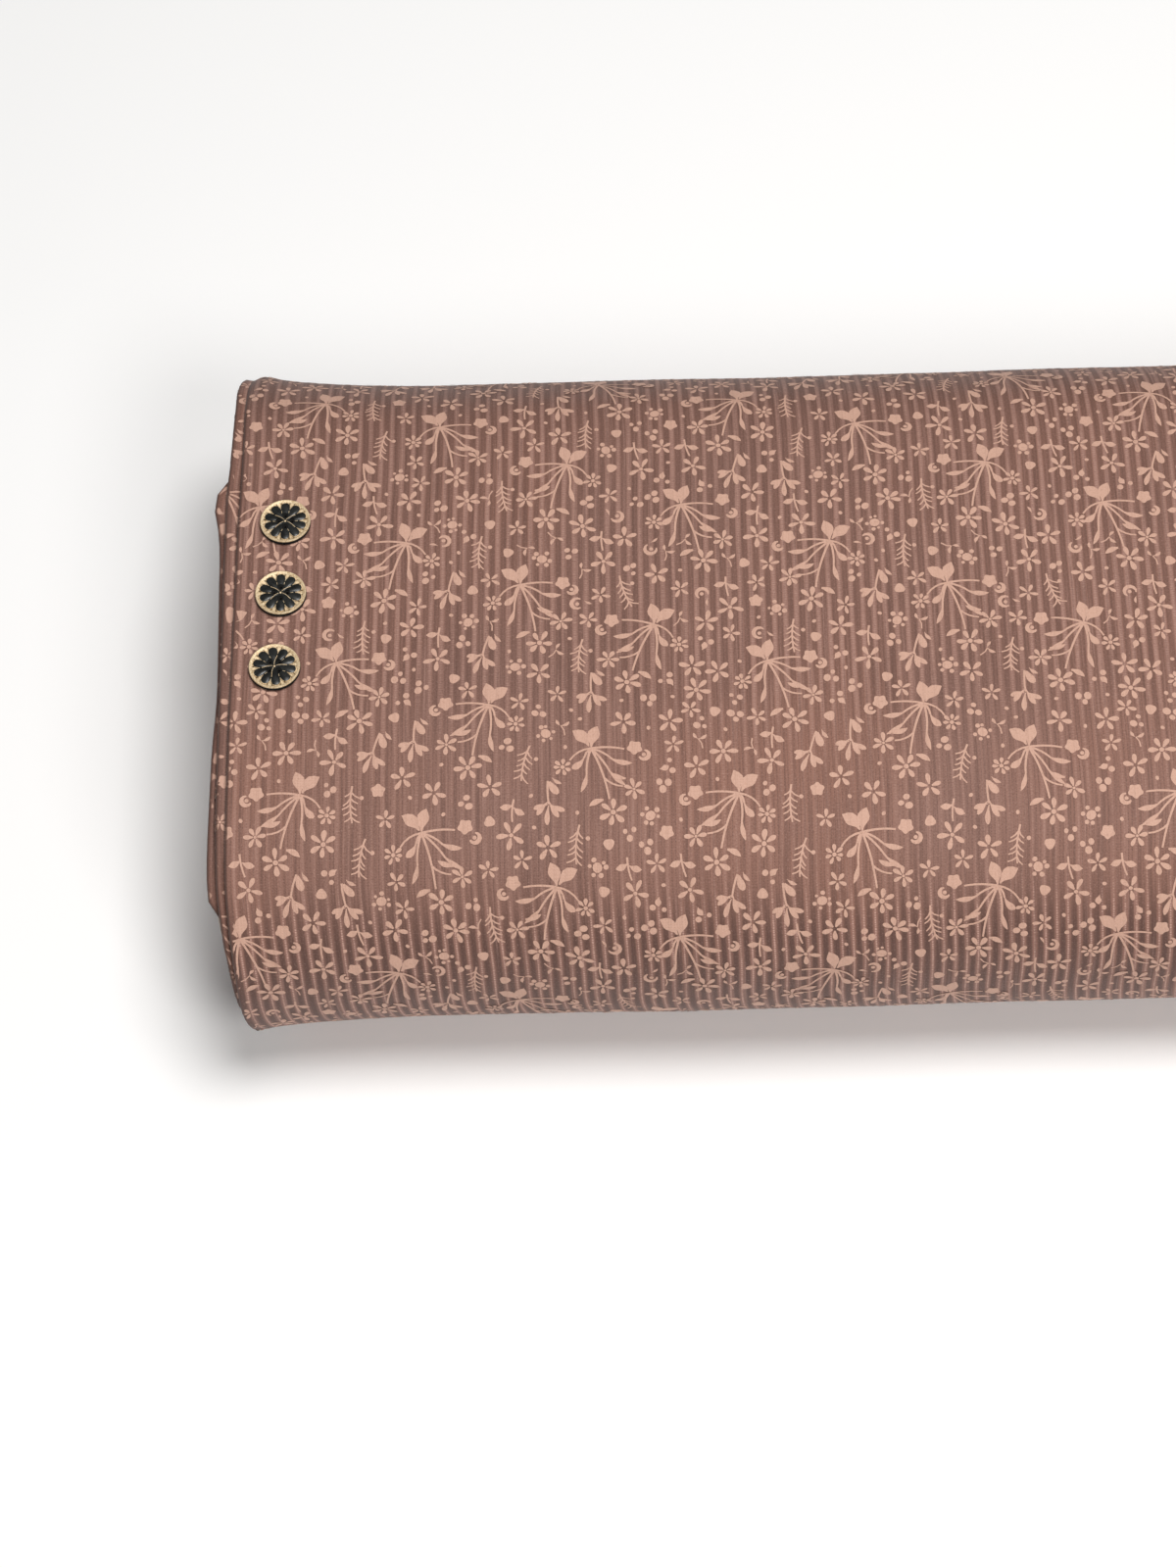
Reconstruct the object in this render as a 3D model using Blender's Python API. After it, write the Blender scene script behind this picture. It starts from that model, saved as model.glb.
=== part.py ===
"""Fabric bolt: printed rib jersey, folded double and wound on a flat cardboard board, with three buttons lying on it.

Metres, +Z up, +X along the bolt, the cloth's fold edge at -X, the side that faces a customer at -Y.
The origin is at the middle of the bolt's base.
"""

import math

import bmesh
import bpy
from mathutils import Matrix, Vector

# ---- driving dimensions ----------------------------------------------------
LENGTH = 0.750  # over everything, along X
WIDTH = 0.248  # over everything, along Y
THICK = 0.118  # between the crests, before the two flats
FLAT_CUT = 0.0006  # how much the weight of the bolt flattens each crest
GAP = 0.0003  # between neighbouring pieces

# Radius of curvature of the wound cross-section against the angle of its normal from the vertical.
BEND_DEG = (0.0, 4.0, 10.0, 22.0, 40.0, 60.0, 90.0)
BEND_M = (1.189, 0.440, 0.091, 0.032, 0.080, 0.053, 0.050)
CREST_HALF = 0.005  # half of the straight stretch on each crest
NOSE_HALF = 0.002  # half of the straight stretch on each nose
GRID = (0, 1.5, 3, 5, 8, 11, 15, 20, 26, 33, 41, 50, 56, 61.6, 62, 66, 66.4, 72, 81, 90)

BOARD_W, BOARD_T, BOARD_R = 0.160, 0.018, 0.003
BOARD_WALL = 0.003
BOARD_LEN = 0.728
TONGUE = 0.032  # how far an end flap is tucked in

# Each group of turns: its place between the outside (0) and the board (1), and where it starts and ends along X.
TURNS = (
    ("outer_turn", 0.000, 0.0480, -0.3670, 0.3710),
    ("second_turn", 0.0552, 0.1030, -0.3720, 0.3730),
    ("outer_windings", 0.1102, 0.3800, -0.3750, 0.3750),
    ("middle_windings", 0.3872, 0.6800, -0.3735, 0.3740),
    ("inner_windings", 0.6872, 0.9925, -0.3715, 0.3725),
)
HINGE_DEG = 66.2  # where the free cut end leaves the bolt, at the back
END_DEG = 118.2  # the cut end's own edge

BUTTON_R, BUTTON_T = 0.009, 0.0022
BUTTON_FLOOR = 0.0014  # level of the recess inside the rim
BUTTON_HOLE_R, BUTTON_HOLE_AT = 0.00085, 0.0023
ENAMEL_R, ENAMEL_T = 0.0069, 0.0003
# Place along X, place along Y and turn about its own axis.
BUTTONS = ((-0.3488, 0.0379, 0.0), (-0.3499, 0.0081, 0.0), (-0.3515, -0.0218, 42.0))


# ---- helpers -----------------------------------------------------------------
for o in list(bpy.data.objects):
    bpy.data.objects.remove(o, do_unlink=True)


def material(name, colour, rough, metal=0.0):
    m = bpy.data.materials.new(name)
    m.use_nodes = True
    b = m.node_tree.nodes["Principled BSDF"]
    b.inputs["Base Color"].default_value = (*colour, 1)
    b.inputs["Roughness"].default_value = rough
    b.inputs["Metallic"].default_value = metal
    return m


CLOTH = material("printed_jersey", (0.34, 0.20, 0.15), 0.85)
BOARD = material("cardboard", (0.45, 0.31, 0.18), 0.9)
BRASS = material("antique_brass", (0.50, 0.36, 0.16), 0.35, 1.0)
ENAMEL = material("black_enamel", (0.012, 0.011, 0.011), 0.12)


def node(name, bm, mat, origin=(0, 0, 0)):
    """Makes one named piece of a bmesh, with its origin at a given point."""
    bmesh.ops.remove_doubles(bm, verts=bm.verts, dist=1e-6)
    bmesh.ops.recalc_face_normals(bm, faces=bm.faces)
    if bm.calc_volume(signed=True) < 0:
        bmesh.ops.reverse_faces(bm, faces=bm.faces)
    bmesh.ops.translate(bm, verts=bm.verts, vec=-Vector(origin))
    mesh = bpy.data.meshes.new(name)
    bm.to_mesh(mesh)
    bm.free()
    mesh.materials.append(mat)
    o = bpy.data.objects.new(name, mesh)
    o.location = origin
    bpy.context.scene.collection.objects.link(o)
    return o


def bend_radius(deg):
    """Radius of the outside at one normal angle, between the knots on a log scale."""
    for k in range(len(BEND_DEG) - 1):
        if deg <= BEND_DEG[k + 1]:
            f = (deg - BEND_DEG[k]) / (BEND_DEG[k + 1] - BEND_DEG[k])
            return math.exp((1 - f) * math.log(BEND_M[k]) + f * math.log(BEND_M[k + 1]))
    return BEND_M[-1]


def quarter():
    """(across, down) from the crest at every 0.1 degree of the outside, scaled to the bolt's real width and thickness."""
    rows, across, down, step = [(0.0, 0.0)], 0.0, 0.0, 0.1
    for i in range(900):
        mid = (i + 0.5) * step
        r = bend_radius(mid) * math.radians(step)
        across += r * math.cos(math.radians(mid))
        down += r * math.sin(math.radians(mid))
        rows.append((across, down))
    sa = (WIDTH / 2 - CREST_HALF) / across
    sd = (THICK / 2 - NOSE_HALF) / down
    return [(a * sa, d * sd) for a, d in rows]


QUARTER = quarter()


def at(spot, depth):
    """(y, z) of the wound section at a spot (side, level, normal angle from the vertical) and a depth from 0, outside, to 1, the board."""
    side, level, g = spot
    x = g * 10
    i = min(int(x), 899)
    f = x - i
    across = QUARTER[i][0] * (1 - f) + QUARTER[i + 1][0] * f + CREST_HALF
    down = QUARTER[i][1] * (1 - f) + QUARTER[i + 1][1] * f
    r = math.radians(g)
    board = (
        BOARD_W / 2 - BOARD_R + BOARD_R * math.sin(r),
        BOARD_T / 2 - BOARD_R + BOARD_R * math.cos(r),
    )
    y = across * (1 - depth) + board[0] * depth
    z = (THICK / 2 - down) * (1 - depth) + board[1] * depth
    flat = (THICK / 2 - FLAT_CUT) * (1 - depth) + BOARD_T / 2 * depth
    return side * y, level * min(z, flat) + THICK / 2 - FLAT_CUT


def angles():
    """Spots all the way round: front top, front bottom, back bottom, back top. The front is side -1."""
    a = [float(g) for g in GRID]
    out = []
    for side, level, up in ((-1, 1, True), (-1, -1, False), (1, -1, True), (1, 1, False)):
        out += [(side, level, g) for g in (a if up else reversed(a))]
    return out


def loft(rows_out, rows_in, x0, x1, closed):
    """A band between two section lines, from x0 to x1; a closed ring, or an open strip with end faces."""
    bm = bmesh.new()
    n = len(rows_out)
    v = [
        [bm.verts.new((x, y, z)) for y, z in rows]
        for rows in (rows_out, rows_in)
        for x in (x0, x1)
    ]
    oa, ob, ia, ib = v
    for i in range(n if closed else n - 1):
        j = (i + 1) % n
        bm.faces.new((oa[i], oa[j], ob[j], ob[i]))
        bm.faces.new((ia[i], ib[i], ib[j], ia[j]))
        bm.faces.new((oa[i], ia[i], ia[j], oa[j]))
        bm.faces.new((ob[i], ob[j], ib[j], ib[i]))
    if not closed:
        for i in (0, n - 1):
            bm.faces.new((oa[i], ob[i], ib[i], ia[i]))
    return bm


# ---- the cloth's turns -------------------------------------------------------
ALL = angles()
LEAVES = (HINGE_DEG - 0.2, HINGE_DEG + 0.2)
ENDS = (180 - END_DEG - 0.2, 180 - END_DEG + 0.2)
for name, d0, d1, x0, x1 in TURNS:
    ring = ALL
    if name == "outer_turn":
        # This turn comes out from under the cut end's edge, goes below and up the front and over the top, to where the cut end leaves.
        back_top = [p for p in ALL if p[:2] == (1, 1) and p[2] < LEAVES[0] + 0.01]
        back_low = [p for p in ALL if p[:2] == (1, -1) and p[2] < ENDS[0] + 0.01]
        ring = back_top + [p for p in ALL if p[0] == -1] + back_low
    node(name, loft([at(p, d0) for p in ring], [at(p, d1) for p in ring], x0, x1, ring is ALL), CLOTH)

d0, d1, x0, x1 = TURNS[0][1:]
flap = [p for p in ALL if p[0] == 1 and ((p[1] == -1 and p[2] > ENDS[1] - 0.01) or (p[1] == 1 and p[2] > LEAVES[1] - 0.01))]
hinge_y, hinge_z = at((1, 1, HINGE_DEG), 0.0)
node(
    "free_end",
    loft([at(p, d0) for p in flap], [at(p, d1) for p in flap], x0, x1, False),
    CLOTH,
    (0, hinge_y, hinge_z),
)

# ---- the board ---------------------------------------------------------------
MID = THICK / 2 - FLAT_CUT


def box_line(w, t, r, n=4):
    """A rounded rectangle in Y and Z about the board's middle."""
    out = []
    for cy, cz, a0 in ((1, 1, 0), (-1, 1, 90), (-1, -1, 180), (1, -1, 270)):
        for k in range(n):
            a = math.radians(a0 + 90 * k / (n - 1))
            out.append((cy * (w / 2 - r) + r * math.cos(a), MID + cz * (t / 2 - r) + r * math.sin(a)))
    return out


node(
    "board_sleeve",
    loft(
        box_line(BOARD_W, BOARD_T, BOARD_R),
        box_line(BOARD_W - 2 * BOARD_WALL, BOARD_T - 2 * BOARD_WALL, 0.0003),
        -BOARD_LEN / 2,
        BOARD_LEN / 2,
        True,
    ),
    BOARD,
)
for name, side in (("board_end_flap_left", -1), ("board_end_flap_right", 1)):
    # A flap closes the sleeve's mouth and its tongue is tucked in along the lower wall.
    w = BOARD_W - 2 * BOARD_WALL - 2 * GAP
    h = BOARD_T - 2 * BOARD_WALL - 2 * GAP
    z0, t = MID - h / 2, BOARD_WALL * 0.8
    e = BOARD_LEN / 2
    line = [(e, z0), (e, z0 + h), (e - t, z0 + h), (e - t, z0 + t), (e - TONGUE, z0 + t), (e - TONGUE, z0)]
    bm = bmesh.new()
    a = [bm.verts.new((side * x, -w / 2, z)) for x, z in line]
    b = [bm.verts.new((side * x, w / 2, z)) for x, z in line]
    bm.faces.new(a)
    bm.faces.new(list(reversed(b)))
    for i in range(len(line)):
        j = (i + 1) % len(line)
        bm.faces.new((a[i], b[i], b[j], a[j]))
    node(name, bm, BOARD)


# ---- the buttons -------------------------------------------------------------
def lathe(rows, n):
    """A solid of revolution about Z from (radius, height) rows that start and end on the axis."""
    bm = bmesh.new()
    rings = []
    for r, z in rows:
        if r < 1e-9:
            rings.append([bm.verts.new((0, 0, z))])
        else:
            rings.append([bm.verts.new((r * math.cos(2 * math.pi * k / n), r * math.sin(2 * math.pi * k / n), z)) for k in range(n)])
    for a, b in zip(rings, rings[1:]):
        for k in range(n):
            j = (k + 1) % n
            if len(a) == 1:
                bm.faces.new((a[0], b[k], b[j]))
            elif len(b) == 1:
                bm.faces.new((a[k], b[0], a[j]))
            else:
                bm.faces.new((a[k], b[k], b[j], a[j]))
    bmesh.ops.recalc_face_normals(bm, faces=bm.faces)
    return bm


def plate_with_holes(radius, low, high, holes, hole_r, n, m):
    """A round plate from low to high with round holes through it, as (x, y) centres."""
    from mathutils.geometry import delaunay_2d_cdt

    pts = [Vector((radius * math.cos(2 * math.pi * k / n), radius * math.sin(2 * math.pi * k / n))) for k in range(n)]
    faces = [list(range(n))]
    loops = [list(range(n))]
    for hx, hy in holes:
        s = len(pts)
        pts += [Vector((hx + hole_r * math.cos(2 * math.pi * k / m), hy + hole_r * math.sin(2 * math.pi * k / m))) for k in range(m)]
        loops.append(list(range(s, s + m)))
    edges = [(l[i], l[(i + 1) % len(l)]) for l in loops for i in range(len(l))]
    out = delaunay_2d_cdt(pts, edges, [], 0, 1e-9)
    bm = bmesh.new()
    lo = [bm.verts.new((p.x, p.y, low)) for p in out[0]]
    hi = [bm.verts.new((p.x, p.y, high)) for p in out[0]]
    for f in out[2]:
        c = sum((out[0][i] for i in f), Vector((0, 0))) / len(f)
        if c.length > radius or any((c - Vector(h)).length < hole_r for h in holes):
            continue
        bm.faces.new([hi[i] for i in f])
        bm.faces.new([lo[i] for i in reversed(f)])
    for l in loops:
        for i in range(len(l)):
            j = (i + 1) % len(l)
            bm.faces.new((lo[l[i]], lo[l[j]], hi[l[j]], hi[l[i]]))
    return bm, lo, hi, loops


def crest(y):
    """Height of the bolt's upper side at a place across it, and how far its normal leans to the front there."""
    side = 1 if y > 0 else -1
    g = min((abs(at((side, 1, k / 4), 0.0)[0] - y), k / 4) for k in range(300))[1]
    z = at((side, 1, g), 0.0)[1]
    return z, (0.0 if z > THICK - 2 * FLAT_CUT - 1e-6 else -side * g)


HOLES = [(BUTTON_HOLE_AT * math.cos(math.radians(90 * k)), BUTTON_HOLE_AT * math.sin(math.radians(90 * k))) for k in range(4)]
N, M = 40, 12
for number, (bx, by, turn) in enumerate(BUTTONS, 1):
    z, lean = crest(by)
    place = Vector((bx, by, z)) + Vector((0, -math.sin(math.radians(lean)), math.cos(math.radians(lean)))) * GAP
    put = Matrix.Translation(place) @ Matrix.Rotation(math.radians(lean), 4, "X") @ Matrix.Rotation(math.radians(turn), 4, "Z")
    # The brass: a floor with four holes, and a raised rim round it.
    bm, lo, hi, loops = plate_with_holes(0.0072, 0.0, BUTTON_FLOOR, HOLES, BUTTON_HOLE_R, N, M)
    wall = [f for f in bm.faces if all(v in [lo[i] for i in loops[0]] + [hi[i] for i in loops[0]] for v in f.verts) and len({round(v.co.z, 6) for v in f.verts}) == 2]
    bmesh.ops.delete(bm, geom=wall, context="FACES_ONLY")
    rim = [(0.0084, 0.0), (BUTTON_R, 0.0005), (BUTTON_R, 0.0016), (0.0086, BUTTON_T), (0.0077, BUTTON_T)]
    rings = [[lo[i] for i in loops[0]]]
    for r, h in rim:
        rings.append([bm.verts.new((r * math.cos(2 * math.pi * k / N), r * math.sin(2 * math.pi * k / N), h)) for k in range(N)])
    rings.append([hi[i] for i in loops[0]])
    for a, b in zip(rings, rings[1:]):
        for k in range(N):
            j = (k + 1) % N
            bm.faces.new((a[k], a[j], b[j], b[k]))
    bmesh.ops.transform(bm, matrix=put, verts=bm.verts)
    node(f"button_{number}_brass", bm, BRASS, place)
    bm, *_ = plate_with_holes(ENAMEL_R, BUTTON_FLOOR + GAP, BUTTON_FLOOR + GAP + ENAMEL_T, HOLES, BUTTON_HOLE_R + GAP, N, M)
    bmesh.ops.transform(bm, matrix=put, verts=bm.verts)
    node(f"button_{number}_enamel", bm, ENAMEL, place)
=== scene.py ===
"""The fabric bolt as it looks: rib jersey printed with small flowers, folded double and wound on a cardboard board, with three buttons on it."""

import math

import bmesh
import bpy
import numpy as np
from mathutils import Matrix, Vector


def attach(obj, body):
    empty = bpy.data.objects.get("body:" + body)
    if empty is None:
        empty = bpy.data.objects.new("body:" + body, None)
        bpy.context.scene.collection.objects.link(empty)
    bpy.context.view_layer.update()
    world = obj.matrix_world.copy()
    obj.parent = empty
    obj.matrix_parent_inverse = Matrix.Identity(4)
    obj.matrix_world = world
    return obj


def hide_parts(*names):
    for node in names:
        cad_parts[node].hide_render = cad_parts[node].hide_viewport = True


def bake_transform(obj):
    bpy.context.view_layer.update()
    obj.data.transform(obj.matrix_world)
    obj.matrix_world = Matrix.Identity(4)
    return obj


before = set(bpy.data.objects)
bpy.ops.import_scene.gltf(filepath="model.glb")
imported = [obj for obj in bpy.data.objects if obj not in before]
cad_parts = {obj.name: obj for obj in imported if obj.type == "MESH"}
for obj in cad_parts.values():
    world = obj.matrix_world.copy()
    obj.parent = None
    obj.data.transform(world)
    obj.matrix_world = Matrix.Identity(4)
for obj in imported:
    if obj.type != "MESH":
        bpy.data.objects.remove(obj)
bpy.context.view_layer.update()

# ==== the wound section =======================================================
THICK, WIDTH, FLAT = 0.118, 0.248, 0.0006
BEND_DEG = (0.0, 4.0, 10.0, 22.0, 40.0, 60.0, 90.0)
BEND_M = (1.189, 0.440, 0.091, 0.032, 0.080, 0.053, 0.050)
BOARD_W, BOARD_T, BOARD_R = 0.160, 0.018, 0.003
MID = THICK / 2 - FLAT


def ss(x):
    """Smooth step from 0 to 1."""
    x = np.clip(x, 0.0, 1.0)
    return x * x * (3 - 2 * x)


def ring():
    """Rows of (y, z outside, y, z at the board, normal y, z, normal angle) once round, from the back nose up and over."""
    g = np.arange(0, 901) / 10
    mid = np.radians((g[1:] + g[:-1]) / 2)
    r = np.exp(np.interp(np.degrees(mid), BEND_DEG, np.log(BEND_M))) * math.radians(0.1)
    across = np.concatenate([[0], np.cumsum(r * np.cos(mid))])
    down = np.concatenate([[0], np.cumsum(r * np.sin(mid))])
    across = across * (WIDTH / 2 - 0.005) / across[-1] + 0.005
    down = down * (THICK / 2 - 0.002) / down[-1]
    up = np.minimum(THICK / 2 - down, THICK / 2 - FLAT)
    a = np.radians(g)
    by, bz = BOARD_W / 2 - BOARD_R + BOARD_R * np.sin(a), BOARD_T / 2 - BOARD_R + BOARD_R * np.cos(a)
    rows, marks = [], {}
    for name, side, level, rising in (("back_top", 1, 1, 0), ("front_top", -1, 1, 1), ("front_low", -1, -1, 0), ("back_low", 1, -1, 1)):
        q = np.stack([side * across, level * up + MID, side * by, level * bz + MID, side * np.sin(a), level * np.cos(a), g], 1)
        marks[name] = (sum(len(x) for x in rows), rising)
        rows.append(q if rising else q[::-1])
    rows.append(rows[0][:1])
    return np.concatenate(rows), marks


RING, MARKS = ring()
ALONG = np.concatenate([[0], np.cumsum(np.linalg.norm(np.diff(RING[:, :2], axis=0), axis=1))])
P = float(ALONG[-1])  # once round the outside


def place(quarter, g):
    """Distance round the outside to a normal angle in one quarter."""
    start, rising = MARKS[quarter]
    return float(ALONG[start + (int(round(g * 10)) if rising else 900 - int(round(g * 10)))])


S_HINGE = place("back_top", 66.2)
S_END = place("back_low", 61.8)
PITCH = 0.0521  # depth of one folded turn, as a share of the way to the board
TURNS = 16.0


def depth(s):
    """How deep the cloth lies at a distance along it: the cut end and outer turn at 0, the second turn below, then a spiral to the board."""
    k = (np.asarray(s, float) - S_END) / P
    return 0.0552 * ss((k + 0.05) / 0.06) + 0.055 * ss((k - 0.955) / 0.06) + PITCH * np.maximum(k - 1.0, 0)


def on(s, d):
    """Position and outward normal in Y and Z."""
    f = np.mod(s, P)
    c = [np.interp(f, ALONG, RING[:, i]) for i in range(7)]
    y, z = c[0] * (1 - d) + c[2] * d, c[1] * (1 - d) + c[3] * d
    n = np.hypot(c[4], c[5])
    return y, z, c[4] / n, c[5] / n


S_NOSE_F = (place("front_top", 90) + place("front_low", 90)) / 2
S_NOSE_B = 0.0
S_SHOULDER_B = place("back_top", 58)
S_TOP_A = place("back_top", 3.2)
S_TOP_B = place("front_top", 44)


def round_gap(s, c):
    """Signed distance round the ring from a place, the short way."""
    return np.mod(np.asarray(s, float) - c + P / 2, P) - P / 2


def wave(x, y, seed):
    """Smooth noise of two numbers, from -1 to 1, as a sum of sines."""
    r = np.random.default_rng(seed)
    out = 0.0
    for i in range(6):
        a, f, p = r.uniform(0, 2 * math.pi), r.uniform(0.6, 1.9), r.uniform(0, 2 * math.pi)
        out = out + np.sin(2 * math.pi * f * (np.cos(a) * x + np.sin(a) * y) + p)
    return out / 6


def ring_wave(x, f, seed, turns=4):
    """Smooth noise along the bolt and round it that meets itself after one turn round."""
    r = np.random.default_rng(seed)
    out = 0.0
    for i in range(7):
        a, n, p = r.uniform(-1.3, 1.3), int(r.integers(-turns, turns + 1)), r.uniform(0, 2 * math.pi)
        out = out + np.sin(2 * math.pi * (a * x + n * f / P) + p)
    return out / 7


# X of the fold at distances round the bolt: the outer turn, the one below it, and the windings, which stand out past both on the top.
OUTER_FOLD = ((0.0, -0.3655), (0.030, -0.3652), (0.079, -0.3650), (0.101, -0.3655), (0.128, -0.3661), (0.170, -0.3669), (0.195, -0.3673), (0.236, -0.3677), (0.258, -0.3682), (0.275, -0.3676), (0.291, -0.3667), (0.309, -0.3662), (0.315, -0.3657), (0.321, -0.3650), (0.327, -0.3642), (0.333, -0.3632), (0.339, -0.3617), (0.345, -0.3602), (0.352, -0.3588), (0.366, -0.3580), (0.420, -0.3635), (0.520, -0.3660), (0.580, -0.3656))
SECOND_FOLD = ((0.0, -0.3676), (0.030, -0.3681), (0.045, -0.3692), (0.062, -0.3689), (0.075, -0.3693), (0.090, -0.3699), (0.100, -0.3706), (0.128, -0.3708), (0.170, -0.3710), (0.236, -0.3714), (0.258, -0.3716), (0.266, -0.3712), (0.279, -0.3701), (0.290, -0.3690), (0.303, -0.3682), (0.309, -0.3677), (0.315, -0.3670), (0.321, -0.3661), (0.327, -0.3650), (0.333, -0.3636), (0.339, -0.3621), (0.345, -0.3608), (0.352, -0.3598), (0.366, -0.3592), (0.420, -0.3660), (0.450, -0.3690), (0.530, -0.3690), (0.580, -0.3680))
INNER_FOLD = ((0.0, -0.3668), (0.040, -0.3678), (0.085, -0.3688), (0.1003, -0.3702), (0.1025, -0.3750), (0.1050, -0.3756), (0.112, -0.3750), (0.119, -0.3738), (0.130, -0.3728), (0.1475, -0.3727), (0.165, -0.3722), (0.180, -0.3724), (0.2005, -0.3735), (0.242, -0.3746), (0.2628, -0.3752), (0.2656, -0.3732), (0.270, -0.3709), (0.282, -0.3692), (0.300, -0.3675), (0.318, -0.3660), (0.330, -0.3642), (0.345, -0.3612), (0.370, -0.3604), (0.420, -0.3700), (0.470, -0.3716), (0.520, -0.3702), (0.580, -0.3676))

DEEP_FOLD = ((0.0, -0.3670), (0.060, -0.3682), (0.096, -0.3692), (0.120, -0.3708), (0.160, -0.3712), (0.200, -0.3722), (0.245, -0.3730), (0.275, -0.3708), (0.290, -0.3692), (0.305, -0.3678), (0.330, -0.3645), (0.355, -0.3622), (0.380, -0.3640), (0.420, -0.3704), (0.470, -0.3716), (0.540, -0.3702))


def looked_up(f, table):
    """A table of (distance, value) read at distances that wrap round the bolt."""
    at_, v = zip(*table)
    return np.interp(f, (*at_, P), (*v, v[0]))


def fold_x(s):
    """X of the fold's apex at a distance along the cloth."""
    s = np.asarray(s, float)
    k = (s - S_END) / P
    f = np.mod(s, P)
    a = ss((k + 0.045) / 0.05)
    b = ss((k - 0.955) / 0.05)
    below = ss((k - 1.80) / 0.25)
    x = looked_up(f, OUTER_FOLD) * (1 - a) + looked_up(f, SECOND_FOLD) * (a - b) + (looked_up(f, INNER_FOLD) * (1 - below) + looked_up(f, DEEP_FOLD) * below) * b
    x = x + 0.00015 * wave(s / 0.05, 0 * s, 3)
    turn = np.maximum(k - 1.0, 0)
    # Each winding below goes its own way a little.
    own = 0.0004 * np.sin(turn * 2.1) + 0.0005 * ring_wave(turn * 0.9, f, 6, 6) - 0.00030 * np.minimum(turn, 2.5) + 0.00026 * np.maximum(turn - 3, 0)
    return x + b * own * ss((turn - 0.75) / 0.5)


def edge_x(s):
    """X of the selvages at the right end."""
    s = np.asarray(s, float)
    k = (s - S_END) / P
    return 0.3705 + 0.0012 * wave(s / 0.11, k * 0.9, 8) + 0.0010 * np.sin(k * 2.3 + 1)


def free_low(f):
    """1 where the cloth is clear of the floor, 0 where it rests on it."""
    return ss((np.abs(round_gap(f, (place("front_low", 0) + place("back_low", 0)) / 2)) - 0.060) / 0.05)


def bulge(x, s, d):
    """How far the cloth stands off the plain section: a little flare at the two ends and soft unevenness, none where it rests."""
    f = np.mod(s, P)
    low = free_low(f)
    high = ss((np.abs(round_gap(f, (place("front_top", 0) + place("back_top", 0)) / 2)) - 0.045) / 0.05)
    left = np.exp(-np.maximum(x + 0.367, 0) / 0.030)
    right = np.exp(-np.maximum(0.371 - x, 0) / 0.045)
    back = np.exp(-(round_gap(f, S_SHOULDER_B) / 0.034) ** 2)
    top = 1 - ss(d / 0.03)
    flare = 0.0056 * left * back + 0.0007 * back * np.exp(-(((x + 0.3590) / 0.004) ** 2)) - 0.0019 * top * back * np.exp(-(((x + 0.3655) / 0.0032) ** 2))
    flare = flare + 0.0009 * (1 - top) * ss((0.12 - d) / 0.05) * back * left
    flare = flare + 0.0026 * left * np.exp(-(round_gap(f, S_NOSE_F + 0.012) / 0.050) ** 2)
    flare = flare + 0.0022 * right * np.exp(-(round_gap(f, S_NOSE_F) / 0.06) ** 2) + 0.0018 * right * np.exp(-(round_gap(f, S_SHOULDER_B) / 0.05) ** 2)
    soft = 0.0011 * ring_wave(x / 0.26, f, 11, 3) + 0.00035 * ring_wave(x / 0.085, f, 12, 6)
    edge = top * (1 - back) * 0.0009 * np.exp(-np.maximum(x - looked_up(f, OUTER_FOLD), 0) / 0.007)  # the outermost fold stands off
    return (flare + (soft + edge) * (0.25 + 0.75 * high)) * low * (1 - np.clip(d, 0, 1)) ** 0.7


PLY, SPACE = 0.00070, 0.00035
PAIR = 2 * PLY + SPACE
R_OUT, R_IN = PAIR / 2, SPACE / 2


def curl(x, s, far):
    """The jersey's selvages curl a little."""
    return np.exp(-np.maximum(edge_x(s) - x, 0) / 0.0045) * far * (0.5 + 0.5 * wave(s / 0.04, 0 * s, 21)) * free_low(np.mod(s, P))


def cloth_point(x, n, s, d, lift=0.0):
    """Row-frame points of the cloth from X, height over the ply's face, distance along and depth."""
    y, z, ny, nz = on(s, d)
    h = n + bulge(x, s, d) + lift
    return np.stack([x, y + ny * h, z + nz * h], -1)


# ==== meshes ==================================================================
def mesh_piece(name, verts, faces, mats, face_mat=None, uvs=None, bake=None, smooth=True):
    me = bpy.data.meshes.new(name)
    me.from_pydata(np.asarray(verts, float).tolist(), [], [tuple(int(i) for i in f) for f in faces])
    for m in mats:
        me.materials.append(m)
    if face_mat is not None:
        me.polygons.foreach_set("material_index", np.asarray(face_mat, np.int32))
    me.polygons.foreach_set("use_smooth", np.full(len(me.polygons), smooth))
    for label, values in (("cloth", uvs), ("OFBake", bake)):
        if values is None:
            continue
        layer = me.uv_layers.new(name=label)
        loops = np.zeros(len(me.loops), np.int32)
        me.loops.foreach_get("vertex_index", loops)
        v = np.asarray(values, np.float32)
        layer.data.foreach_set("uv", (v if len(v) == len(loops) and v.ndim == 2 and values is not None and getattr(values, "shape", (0,))[0] == len(loops) and len(loops) != len(verts) else v[loops]).ravel())
    me.validate(clean_customdata=False)
    me.update()
    o = bpy.data.objects.new(name, me)
    bpy.context.scene.collection.objects.link(o)
    return o


def mat(name):
    m = bpy.data.materials.new(name)
    m.use_nodes = True
    m.node_tree.nodes.clear()
    return m


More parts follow.
